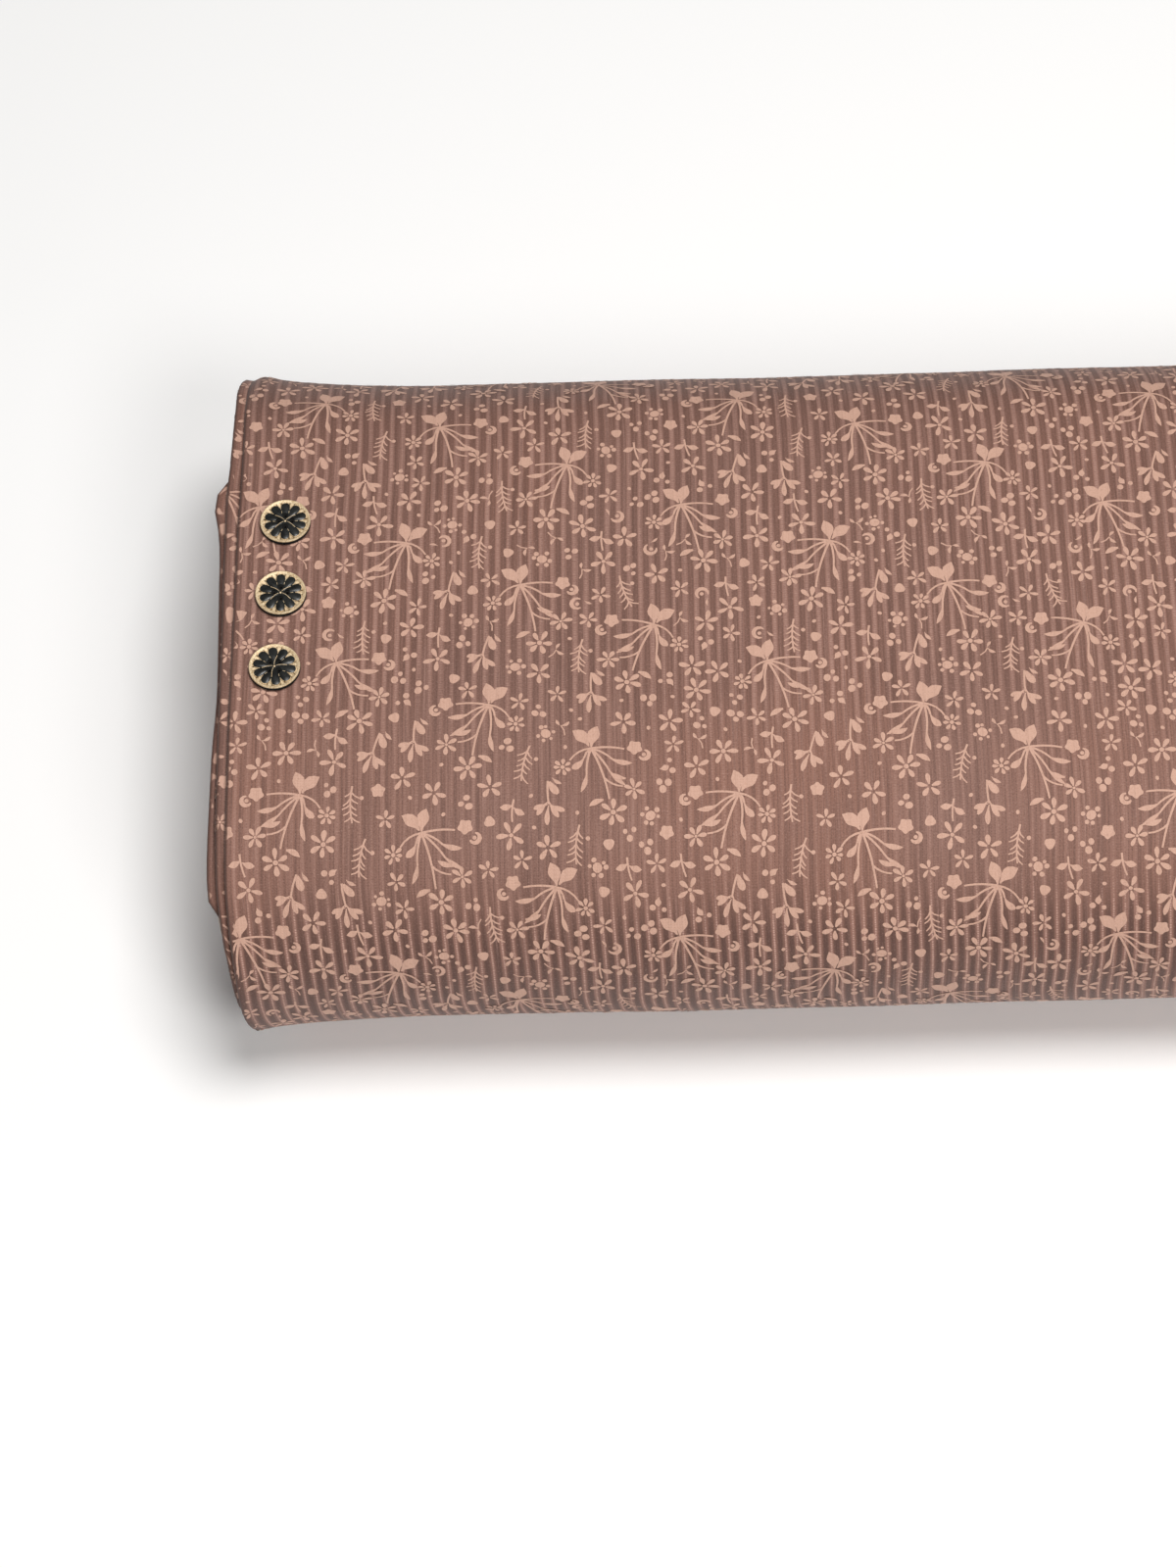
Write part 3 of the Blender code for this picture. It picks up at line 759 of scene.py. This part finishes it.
def fill_tile():
    """Motifs set close together on a tile that repeats both ways: bouquets in staggered rows, the rest in the room between, none touching."""
    rng = np.random.default_rng(20)
    nx, ny = 200, 222
    gx, gy = (np.arange(nx) + 0.5) * TILE[0] / nx, (np.arange(ny) + 0.5) * TILE[1] / ny
    room = np.full((nx, ny), 30.0)
    verts, faces = [], []
    total = base = 0
    plan = [("bouquet", 10, 0.5)]
    plan += [("sprig", 9, 1.0), ("branch", 8, 1.0), ("twig", 9, 0.8), ("berry", 9, 1.0), ("five", 16, 1.0), ("daisy", 5, 1.0), ("five_small", 12, 1.0), ("trio", 12, 0.9)]
    plan += [("crescent", 6, 0.9), ("dot", 8, 1.0), ("rosette", 3, 0.9), ("hook", 8, 0.8), ("bud", 9, 0.8), ("five_small", 10, 0.9), ("trio", 10, 0.9), ("hook", 6, 0.8), ("dot", 4, 0.9), ("crumb", 30, 0.85)]
    for kind, count, clear in plan:
        for i in range(count):
            m = bouquet(rng, i) if kind == "bouquet" else simple(rng, kind)
            c = np.array(m.c)
            best = None
            tries = 1 if kind == "bouquet" else 400
            if kind == "bouquet":
                xs, ys = [i * 45.0 + rng.uniform(-3, 3)], [i * TILE[1] / 10 + rng.uniform(-2, 2)]
                turn = [(-0.24 if i % 2 else 0.24) + rng.normal(0, 0.06)]
            else:
                xs, ys = rng.uniform(0, TILE[0], tries), rng.uniform(0, TILE[1], tries)
                wide = 0.3 if kind in ("sprig", "branch", "twig") else 3.0
                turn = rng.uniform(-wide, wide, tries)
            for x, y, a in zip(xs, ys, turn):
                ca, sa = math.cos(a), math.sin(a)
                px, py = c[:, 0] * ca - c[:, 1] * sa + x, c[:, 0] * sa + c[:, 1] * ca + y
                ix, iy = np.floor(px / TILE[0] * nx).astype(int) % nx, np.floor(py / TILE[1] * ny).astype(int) % ny
                free = float((room[ix, iy] - c[:, 2]).min())
                if free < clear and kind != "bouquet":
                    continue
                if best is None or free > best[0]:
                    best = (free, x, y, a, px, py)
                if len(c) > 12 or kind in ("five", "daisy", "berry"):
                    break  # the first place that fits
            if best is None:
                continue
            total += 1
            _, x, y, a, px, py = best
            ca, sa = math.cos(a), math.sin(a)
            v = np.array(m.v)
            verts.append(np.stack([v[:, 0] * ca - v[:, 1] * sa + x, v[:, 0] * sa + v[:, 1] * ca + y, np.array(m.h, float)], 1))
            faces += [tuple(base + k for k in f) for f in m.f]
            base += len(v)
            for qx, qy, r in zip(px, py, c[:, 2]):
                dx = np.abs(np.mod(gx - qx + TILE[0] / 2, TILE[0]) - TILE[0] / 2)
                dy = np.abs(np.mod(gy - qy + TILE[1] / 2, TILE[1]) - TILE[1] / 2)
                i0, j0 = np.flatnonzero(dx < 12), np.flatnonzero(dy < 12)
                room[np.ix_(i0, j0)] = np.minimum(room[np.ix_(i0, j0)], np.hypot(dx[i0][:, None], dy[j0][None]) - r)
    v = np.concatenate(verts)
    quads = np.array([f if len(f) == 4 else (*f, f[2]) for f in faces])
    print("print tile:", total, "motifs,", len(faces), "faces")
    return v, quads


TILE_V, TILE_F = fill_tile()


def printed(name, regions, shift, start_lift=None, off_pattern=(0.0, 0.0)):
    """The print over stretches of cloth, each (w from, w to, s from, s to) in metres, a hair above it."""
    ca, sa = math.cos(SKEW), math.sin(SKEW)
    V, F, U = [], [], []
    count = 0
    w0, w1 = min(r[0] for r in regions), max(r[1] for r in regions)
    s0, s1 = min(r[2] for r in regions), max(r[3] for r in regions)
    for i in range(int(w0 * 1000 / TILE[0]) - 2, int(w1 * 1000 / TILE[0]) + 3):
        for j in range(int(math.floor(s0 * 1000 / TILE[1])) - 2, int(s1 * 1000 / TILE[1]) + 3):
            x, y = TILE_V[:, 0] + i * TILE[0] + off_pattern[0], TILE_V[:, 1] + j * TILE[1] + off_pattern[1]
            w, s = (x * ca + 0 * y - y * sa) / 1000, (x * sa + y * ca) / 1000
            cw, cs = w[TILE_F].mean(1), s[TILE_F].mean(1)
            keep = np.zeros(len(TILE_F), bool)
            for a, b, c, d in regions:
                keep |= (cw > a) & (cw < b) & (cs > c) & (cs < d)
            if not keep.any():
                continue
            used, new = np.unique(TILE_F[keep], return_inverse=True)
            V.append(np.stack([w[used], s[used], TILE_V[used, 2]], 1))
            F.append(new.reshape(-1, 4) + count)
            count += len(used)
    V, F = np.concatenate(V), np.concatenate(F)
    w, s = V[:, 0], V[:, 1]
    LIFT = 0.00006 + 0.000005 * np.minimum(V[:, 2], 40)
    xl = fold_x(s)
    arc = math.pi / 2 * R_OUT
    a = np.clip(w / R_OUT, -math.pi / 2, math.pi / 2)
    flat = w > arc
    back = w < -arc
    x = np.where(flat, xl + R_OUT + w - arc, np.where(back, xl + R_OUT - w - arc, xl + R_OUT - R_OUT * np.cos(a)))
    n = np.where(flat, curl(x, s, 0.0006), np.where(back, -PAIR, -R_OUT + R_OUT * np.sin(a)))
    x = x - np.where(flat | back, 0, np.cos(a) * LIFT)
    n = n + np.where(flat, LIFT, np.where(back, -LIFT, np.sin(a) * LIFT))
    pts = cloth_point(x, n, s, depth(s), start_lift(s) if start_lift else 0.0)
    faces = [tuple(map(int, f)) if f[2] != f[3] else tuple(map(int, f[:3])) for f in F]
    me = bpy.data.meshes.new(name)
    me.from_pydata(pts.tolist(), [], faces)
    me.materials.append(M_INK)
    me.polygons.foreach_set("use_smooth", np.ones(len(faces), bool))
    loops = np.zeros(len(me.loops), np.int32)
    me.loops.foreach_get("vertex_index", loops)
    me.uv_layers.new(name="cloth").data.foreach_set("uv", V[loops, :2].astype(np.float32).ravel())
    me.update()
    o = bpy.data.objects.new(name, me)
    bpy.context.scene.collection.objects.link(o)
    print(name, len(faces), "faces")
    return o


PRINT_W = 0.728
S_HALF = place("front_top", 40.0)
print_outer = printed("print_outer_turn_top", [(-0.0008, PRINT_W, S_HINGE, S_HALF)], (0, 0))
print_under = printed("print_outer_turn_under", [(-0.0008, PRINT_W, S_HALF, S_1 - 0.012)], (0, 0))
print_flap = printed("print_cut_end", [(-0.0008, PRINT_W, S_END - P, S_HINGE)], (0, 0), end_lift)
print_second = printed(
    "print_second_turn",
    [(-0.0012, 0.013, S_1, S_2), (0.0, PRINT_W, S_1 - 0.011, S_HINGE + P + 0.004)],
    (0, 0),
    None,
    (37.0, 21.0),
)

# ==== cardboard ================================================================
def cardboard():
    s = Shader("kraft_board")
    v = s.obj()
    fibre = s.noise(s.scale(v, (60, 900, 900)), 1.0, 3.0, 0.6)
    blot = s.noise(s.scale(v, (25, 25, 25)), 1.0, 3.0)
    c = s.mix(s.ramp(fibre, 0.3, 0.7), (0.42, 0.27, 0.15), (0.52, 0.36, 0.21))
    c = s.mix(s.math("MULTIPLY", s.ramp(blot, 0.35, 0.7), 0.35), c, (0.36, 0.23, 0.125))
    s.put(s.b.inputs["Base Color"], c)
    s.put(s.b.inputs["Roughness"], s.ramp(fibre, 0.2, 0.8, 0.78, 0.92))
    s.b.inputs["Specular IOR Level"].default_value = 0.3
    flute = s.math("SINE", s.math("MULTIPLY", s.sep_y(v), 2 * math.pi / 0.0064)) if hasattr(s, "sep_y") else fibre
    h = s.math("MULTIPLY_ADD", flute, 0.05, s.math("MULTIPLY", fibre, 0.06))
    s.put(s.b.inputs["Normal"], s.bump(h, 0.001, 0.8))
    return s.m


def _sep_y(self, v):
    n = self.t.nodes.new("ShaderNodeSeparateXYZ")
    self.t.links.new(v, n.inputs[0])
    return n.outputs[1]


Shader.sep_y = _sep_y
M_BOARD = cardboard()


def rounded(w, t, r, n):
    """Points and normals round a rounded rectangle in Y and Z, evenly spaced."""
    pts = []
    for cy, cz, a0 in ((1, 1, 0), (-1, 1, 90), (-1, -1, 180), (1, -1, 270)):
        for k in range(9):
            a = math.radians(a0 + 90 * k / 8)
            pts.append((cy * (w / 2 - r) + r * math.cos(a), MID + cz * (t / 2 - r) + r * math.sin(a), math.cos(a), math.sin(a)))
    pts = np.array(pts + pts[:1])
    l = np.concatenate([[0], np.cumsum(np.linalg.norm(np.diff(pts[:, :2], axis=0), axis=1))])
    at = np.linspace(0, l[-1], n, endpoint=False)
    return np.stack([np.interp(at, l, pts[:, i]) for i in range(4)], 1), at, l[-1]


def tube(rows_out, rows_in, x0, x1, verts, faces):
    n, b = len(rows_out), len(verts)
    for rows in (rows_out, rows_in):
        for x in (x0, x1):
            verts += [(x, y, z) for y, z in rows]
    oa, ob, ia, ib = (b + k * n for k in range(4))
    for i in range(n):
        j = (i + 1) % n
        faces += [(oa + i, oa + j, ob + j, ob + i), (ia + i, ib + i, ib + j, ia + j), (oa + i, ia + i, ia + j, oa + j), (ob + i, ob + j, ib + j, ib + i)]


BOARD_L = 0.728
v, f = [], []
for off, thick in ((0.0, 0.00035), (0.00265, 0.00035)):
    o_, _, _ = rounded(BOARD_W - 2 * off, BOARD_T - 2 * off, max(BOARD_R - off, 0.0006), 120)
    i_, _, _ = rounded(BOARD_W - 2 * off - 2 * thick, BOARD_T - 2 * off - 2 * thick, max(BOARD_R - off - thick, 0.0004), 120)
    tube([(p[0], p[1]) for p in o_], [(p[0], p[1]) for p in i_], -BOARD_L / 2, BOARD_L / 2, v, f)
waves = 54
q, l, total = rounded(BOARD_W - 0.003, BOARD_T - 0.003, BOARD_R - 0.0013, waves * 10)
h = 0.00098 * np.sin(2 * math.pi * waves * l / total)
tube([(p[0] + p[2] * (k + 0.00012), p[1] + p[3] * (k + 0.00012)) for p, k in zip(q, h)], [(p[0] + p[2] * (k - 0.00012), p[1] + p[3] * (k - 0.00012)) for p, k in zip(q, h)], -BOARD_L / 2 + 0.0004, BOARD_L / 2 - 0.0004, v, f)


def solid(name, verts, faces, material, smooth=False, angle=None):
    me = bpy.data.meshes.new(name)
    me.from_pydata([tuple(map(float, p)) for p in verts], [], faces)
    me.materials.append(material)
    bm = bmesh.new()
    bm.from_mesh(me)
    bmesh.ops.recalc_face_normals(bm, faces=bm.faces)
    bm.to_mesh(me)
    bm.free()
    me.polygons.foreach_set("use_smooth", np.full(len(me.polygons), smooth))
    if angle is not None:
        me.set_sharp_from_angle(angle=math.radians(angle))
    me.update()
    o = bpy.data.objects.new(name, me)
    bpy.context.scene.collection.objects.link(o)
    return o


sleeve = solid("board_sleeve_fluted", v, f, M_BOARD, True, 40)
flaps = []
for name, side in (("left", -1), ("right", 1)):
    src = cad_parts[f"board_end_flap_{name}"]
    o = bpy.data.objects.new(f"board_flap_{name}_card", src.data.copy())
    bpy.context.scene.collection.objects.link(o)
    o.data.materials.clear()
    o.data.materials.append(M_BOARD)
    b = o.modifiers.new("bevel", "BEVEL")
    b.width, b.segments, b.limit_method, b.angle_limit = 0.0005, 3, "ANGLE", math.radians(30)
    flaps.append((o, f"board_end_flap_{name}"))

# ==== buttons ==================================================================
def brass():
    s = Shader("antique_brass_rim")
    v = s.obj()
    n = s.t.nodes.new("ShaderNodeSeparateXYZ")
    s.t.links.new(v, n.inputs[0])
    x, y, z = n.outputs
    rm = s.math("MULTIPLY", s.math("SQRT", s.math("ADD", s.math("MULTIPLY", x, x), s.math("MULTIPLY", y, y))), 1000.0)
    zm = s.math("MULTIPLY", z, 1000.0)
    a = s.math("ARCTAN2", y, x)
    between = s.math("COSINE", s.math("MULTIPLY", a, 10.0))  # 1 between two petals
    tips = s.math("MULTIPLY", s.ramp(s.math("ABSOLUTE", s.math("SUBTRACT", between, 0.40)), 0.10, 0.45, 1.0, 0.0), s.math("MULTIPLY", s.ramp(rm, 6.3, 6.8), s.ramp(rm, 7.6, 8.0, 1.0, 0.0)))
    grain = s.noise(v, 1900.0, 3.0, 0.7)
    stain = s.noise(v, 520.0, 3.0, 0.6)
    c = s.mix(s.ramp(grain, 0.36, 0.62), (0.62, 0.43, 0.23), (0.90, 0.74, 0.50))
    c = s.mix(s.math("MULTIPLY", s.ramp(stain, 0.50, 0.66), 0.45), c, (0.36, 0.22, 0.085))
    c = s.mix(s.math("MULTIPLY", tips, s.ramp(stain, 0.30, 0.55, 0.45, 0.95)), c, (0.13, 0.075, 0.028))
    # Painted shade: the side wall and the sunken floor under the enamel are coloured near black and made dull and less
    # metallic, where shade falls.
    wall = s.math("MULTIPLY", s.ramp(zm, 1.75, 1.98, 1.0, 0.0), s.ramp(rm, 8.3, 8.55))
    deep = s.math("MULTIPLY", s.ramp(zm, 1.70, 1.76, 1.0, 0.0), s.ramp(rm, 5.6, 6.0, 1.0, 0.0))
    wear_and_painted_shade = s.math("MAXIMUM", wall, deep)
    c = s.mix(wear_and_painted_shade, c, (0.004, 0.0035, 0.003))
    s.put(s.b.inputs["Base Color"], c)
    s.put(s.b.inputs["Metallic"], s.math("MULTIPLY", s.math("SUBTRACT", 1.0, wear_and_painted_shade), 0.30))
    s.put(s.b.inputs["Roughness"], s.math("MAXIMUM", wear_and_painted_shade, s.ramp(grain, 0.2, 0.8, 0.38, 0.60)))
    s.put(s.b.inputs["Normal"], s.bump(s.math("MULTIPLY_ADD", tips, -0.10, s.math("MULTIPLY", grain, 0.16)), 0.001, 0.9))
    return s.m


def enamel():
    s = Shader("black_enamel_petals")
    v = s.obj()
    n = s.t.nodes.new("ShaderNodeSeparateXYZ")
    s.t.links.new(v, n.inputs[0])
    g = s.noise(v, 900.0, 3.0, 0.6)
    w = s.noise(v, 260.0, 2.0, 0.5)
    c = s.mix(s.ramp(w, 0.35, 0.7), (0.007, 0.0075, 0.007), (0.020, 0.021, 0.020))
    s.put(s.b.inputs["Base Color"], c)
    s.put(s.b.inputs["Roughness"], s.ramp(g, 0.2, 0.8, 0.22, 0.40))
    s.b.inputs["Specular IOR Level"].default_value = 0.42
    s.put(s.b.inputs["Normal"], s.bump(s.math("MULTIPLY", g, 0.03), 0.001, 0.6))
    return s.m


M_BRASS, M_ENAMEL = brass(), enamel()
PETALS, HOLE_R, HOLE_AT = 10, 0.00085, 0.0023


def lobe(a):
    """Radius of the enamel flower's outline at an angle; petal tips between the spokes."""
    u = np.mod(a * PETALS / (2 * math.pi), 1.0) * 2 - 1  # 0 in the middle of a petal
    return 0.0050 + 0.00265 * np.maximum(1 - np.abs(u) ** 2.3, 0) ** 0.60


def polar_plate(rows, n, height):
    """Angles of a polar grid of n steps, with empty lists of points and faces; no plate is built. rows and height are
    not used.
    """
    verts, faces = [], []
    ang = 2 * math.pi * np.arange(n) / n
    return verts, faces, ang


def enamel_mesh():
    n, rows = 240, [0.0, 0.12, 0.22, 0.32, 0.42, 0.52, 0.62, 0.71, 0.79, 0.86, 0.92, 0.96, 0.985, 1.0]
    ang = 2 * math.pi * np.arange(n) / n
    edge = lobe(ang)
    verts, faces = [(0, 0, 0.00195)], []
    u = np.abs(np.mod(ang * PETALS / (2 * math.pi), 1.0) * 2 - 1)
    for k in rows[1:]:
        r = edge * k
        t = np.clip((r - 0.0012) / 0.0035, 0, 1)
        cushion = np.sqrt(np.maximum(1 - u**2, 0)) * np.sqrt(np.maximum(1 - np.clip((k - 0.45) / 0.55, 0, 1) ** 2, 0))
        z = 0.00170 + 0.00058 * cushion * t + 0.00015 * (1 - t)
        verts += [(float(a), float(b), float(c)) for a, b, c in zip(r * np.cos(ang), r * np.sin(ang), z)]
    low = [(float(a), float(b), 0.00155) for a, b in zip(edge * np.cos(ang), edge * np.sin(ang))]
    verts += low + [(0, 0, 0.00155)]
    R = len(rows) - 1
    for i in range(n):
        j = (i + 1) % n
        faces.append((0, 1 + i, 1 + j))
        for k in range(R):
            a, b = 1 + k * n, 1 + (k + 1) * n
            if k < R:
                faces.append((a + i, b + i, b + j, a + j))
        faces.append((len(verts) - 1, 1 + R * n + j, 1 + R * n + i))
    return verts, faces


def brass_mesh():
    n = 120
    rows = [(0.0, 0.0), (0.0084, 0.0), (0.00885, 0.00025), (0.009, 0.0006), (0.009, 0.0016), (0.00893, 0.00195), (0.0087, 0.00217), (0.00845, 0.00217), (0.00828, 0.00204), (0.0081, 0.00198), (0.0079, 0.00190), (0.00775, 0.00172), (0.0074, 0.00163), (0.0050, 0.00153), (0.0, 0.00146)]
    verts, faces, rings = [], [], []
    for r, z in rows:
        if r == 0:
            rings.append([len(verts)])
            verts.append((0, 0, z))
        else:
            rings.append(list(range(len(verts), len(verts) + n)))
            verts += [(r * math.cos(2 * math.pi * i / n), r * math.sin(2 * math.pi * i / n), z) for i in range(n)]
    for a, b in zip(rings, rings[1:]):
        for i in range(n):
            j = (i + 1) % n
            if len(a) == 1:
                faces.append((a[0], b[j], b[i]))
            elif len(b) == 1:
                faces.append((a[i], a[j], b[0]))
            else:
                faces.append((a[i], a[j], b[j], b[i]))
    return verts, faces


def wire(points, radii, verts, faces, k=6):
    """A thin round wire through points, closed at both ends."""
    p = np.asarray(points, float)
    t = np.gradient(p, axis=0)
    t /= np.linalg.norm(t, axis=1, keepdims=True)
    b = len(verts)
    for q, d, r in zip(p, t, radii):
        side = np.cross(d, (0, 0, 1.0))
        side /= np.linalg.norm(side)
        up = np.cross(side, d)
        verts += [tuple(q + r * (math.cos(2 * math.pi * i / k) * side + math.sin(2 * math.pi * i / k) * up)) for i in range(k)]
    for j in range(len(p) - 1):
        for i in range(k):
            m_ = (i + 1) % k
            faces.append((b + j * k + i, b + j * k + m_, b + (j + 1) * k + m_, b + (j + 1) * k + i))
    faces.append(tuple(b + i for i in range(k)))
    faces.append(tuple(b + (len(p) - 1) * k + i for i in reversed(range(k))))


def cells_mesh():
    """The raised brass lines: round each petal's tip, and four spokes that run in to the centre bead."""
    verts, faces = [], []
    n = PETALS * 24
    ang = 2 * math.pi * np.arange(n + 1) / n
    r = lobe(ang) + 0.00006
    wire([(a * math.cos(t), a * math.sin(t), 0.00188) for a, t in zip(r, ang)][:-1] + [(r[0] * math.cos(0), r[0] * math.sin(0), 0.00188)], [0.00013] * (n + 1), verts, faces, 6)
    for i in range(PETALS):
        a = 2 * math.pi * i / PETALS
        long = i in (1, 4, 6, 9)
        inner = 0.0007 if long else 0.0034
        m_ = 12
        pts = []
        for k in range(m_):
            t = k / (m_ - 1)
            rr = 0.0044 * (1 - t) + inner * t
            turn = (0.30 if long else 0.06) * math.sin(t * math.pi / 2) * (1 if i % 2 else -1) * t
            pts.append((rr * math.cos(a + turn), rr * math.sin(a + turn), 0.00188 + (0.00019 * math.sin(math.pi * min(t * 1.15, 0.75)) if long else 0.0)))
        wire(pts, np.linspace(0.00013, 0.00009, m_), verts, faces, 6)
    # The centre bead.
    b, rings, k = len(verts), 5, 12
    for i in range(1, rings):
        e = math.pi / 2 * i / (rings - 1)
        verts += [(0.00042 * math.sin(e) * math.cos(2 * math.pi * j / k), 0.00042 * math.sin(e) * math.sin(2 * math.pi * j / k), 0.0019 + 0.0003 * math.cos(e)) for j in range(k)]
    verts += [(0, 0, 0.0022), (0, 0, 0.0018)]
    for j in range(k):
        m_ = (j + 1) % k
        faces.append((len(verts) - 2, b + j, b + m_))
        for i in range(rings - 2):
            faces.append((b + i * k + j, b + (i + 1) * k + j, b + (i + 1) * k + m_, b + i * k + m_))
        faces.append((len(verts) - 1, b + (rings - 2) * k + m_, b + (rings - 2) * k + j))
    return verts, faces


def cutter(radius):
    verts, faces = [], []
    for i in range(4):
        a = math.pi / 2 * i
        b, k = len(verts), 24
        for z in (-0.001, 0.004):
            verts += [(HOLE_AT * math.cos(a) + radius * math.cos(2 * math.pi * j / k), HOLE_AT * math.sin(a) + radius * math.sin(2 * math.pi * j / k), z) for j in range(k)]
        faces += [(b + j, b + (j + 1) % k, b + k + (j + 1) % k, b + k + j) for j in range(k)]
        faces += [tuple(b + j for j in reversed(range(k))), tuple(b + k + j for j in range(k))]
    return solid("hole_cutter", verts, faces, M_ENAMEL)


def cut(o, tool):
    m_ = o.modifiers.new("holes", "BOOLEAN")
    m_.operation, m_.solver, m_.object = "DIFFERENCE", "EXACT", tool
    dg = bpy.context.evaluated_depsgraph_get()
    me = bpy.data.meshes.new_from_object(o.evaluated_get(dg))
    o.modifiers.clear()
    o.data = me
    me.set_sharp_from_angle(angle=math.radians(38))
    return o


narrow, tool = cutter(HOLE_R * 0.62), cutter(HOLE_R * 1.22)  # the hole is wider through the enamel than through the metal
proto_brass = cut(solid("button_brass_proto", *brass_mesh(), M_BRASS, True), narrow)
proto_enamel = cut(solid("button_enamel_proto", *enamel_mesh(), M_ENAMEL, True), tool)
bpy.data.objects.remove(narrow)
proto_cells = solid("button_cells_proto", *cells_mesh(), M_BRASS, True, 50)
bpy.data.objects.remove(tool)

BUTTONS = ((-0.3488, 0.0379, 0.0), (-0.3499, 0.0081, 0.0), (-0.3515, -0.0218, 42.0))
buttons = []
for i, (bx, by, turn) in enumerate(BUTTONS, 1):
    put = Matrix.Translation((bx, by - 0.0008, THICK - 2 * FLAT + 0.0003)) @ Matrix.Rotation(math.radians(turn), 4, "Z")
    for kind, proto in (("brass", proto_brass), ("cells", proto_cells), ("enamel", proto_enamel)):
        o = bpy.data.objects.new(f"button_{i}_{kind}_piece", proto.data)
        o.matrix_world = put
        bpy.context.scene.collection.objects.link(o)
        buttons.append((o, i, kind))
for proto in (proto_brass, proto_enamel, proto_cells):
    bpy.data.objects.remove(proto)

# ==== what rides on what =======================================================
bpy.context.view_layer.update()
for o, body, nodes, slot in (
    (outer, "cloth", ["outer_turn"], "printed_jersey"),
    (second, "cloth", ["second_turn"], "printed_jersey"),
    (wind_a, "cloth", ["outer_windings"], "printed_jersey"),
    (wind_b, "cloth", ["middle_windings"], "printed_jersey"),
    (wind_c, "cloth", ["inner_windings"], "printed_jersey"),
    (print_outer, "cloth", [], "printed_jersey"),
    (print_under, "cloth", [], "printed_jersey"),
    (print_second, "cloth", [], "printed_jersey"),
    (sleeve, "board", ["board_sleeve"], "cardboard"),
):
    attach(o, body)
    if nodes:
        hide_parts(*nodes)
for o, n in flaps:
    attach(o, "board")
    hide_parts(n)
for o, i, kind in buttons:
    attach(o, f"button_{i}")
    if kind != "cells":
        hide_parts(f"button_{i}_{kind}")
a = cloth_point(np.array([0.0]), np.array([0.0]), np.array([S_HINGE]), 0.0)[0]
b = cloth_point(np.array([0.0]), np.array([0.0]), np.array([S_HINGE - 0.007]), 0.0)[0]
for o in (flap, print_flap):
    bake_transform(o)
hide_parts("free_end")


# ==== floor, light, camera ======================================================
bpy.ops.mesh.primitive_plane_add(size=12, location=(0, 0, -0.0003))
floor = bpy.context.object
floor.name = "floor"
s = Shader("pale_floor")
s.b.inputs["Base Color"].default_value = (0.96, 0.96, 0.96, 1)
s.b.inputs["Roughness"].default_value = 0.9
s.b.inputs["Specular IOR Level"].default_value = 0.1
s.b.inputs["Emission Color"].default_value = (1, 1, 1, 1)
s.b.inputs["Emission Strength"].default_value = 0.07
floor.data.materials.append(s.m)

world = bpy.data.worlds.new("studio")
world.use_nodes = True
world.node_tree.nodes["Background"].inputs[0].default_value = (1, 1, 1, 1)
world.node_tree.nodes["Background"].inputs[1].default_value = 0.14
bpy.context.scene.world = world


def area(name, where, at, size, power, colour=(1, 1, 1)):
    l = bpy.data.lights.new(name, "AREA")
    l.shape, l.size, l.energy, l.color = "DISK", size, power, colour
    o = bpy.data.objects.new(name, l)
    o.location = where
    o.rotation_euler = (Vector(at) - Vector(where)).to_track_quat("-Z", "Y").to_euler()
    bpy.context.scene.collection.objects.link(o)
    return o


area("top", (0.06, -0.13, 2.0), (-0.1, -0.02, 0.08), 0.85, 29.6, (1.0, 0.99, 0.975))
area("front", (0.36, -1.22, 1.58), (-0.1, -0.02, 0.08), 0.7, 12.5, (1.0, 0.985, 0.965))

TAU, FOCAL = math.radians(28.6), 3600.0
D0, Y0 = 1.236, -0.0628
crest = Vector((0, 0, THICK - FLAT))
ahead = Vector((0, math.sin(TAU), -math.cos(TAU)))
down = Vector((0, -math.cos(TAU), -math.sin(TAU)))
eye = crest - ahead * D0 - down * Y0
eye.x = -0.2438
data = bpy.data.cameras.new("camera")
data.sensor_fit, data.sensor_width, data.lens = "AUTO", 36.0, FOCAL / 1600 * 36
data.clip_start, data.clip_end = 0.05, 50
cam = bpy.data.objects.new("camera", data)
bpy.context.scene.collection.objects.link(cam)
x_axis = ahead.cross(-down)
basis = Matrix((x_axis, -down, -ahead)).transposed()
cam.matrix_world = Matrix.Translation(eye) @ basis.to_4x4() @ Matrix.Rotation(math.radians(-1.5), 4, "Z")
bpy.context.scene.camera = cam
bpy.context.scene.view_settings.view_transform = "Standard"
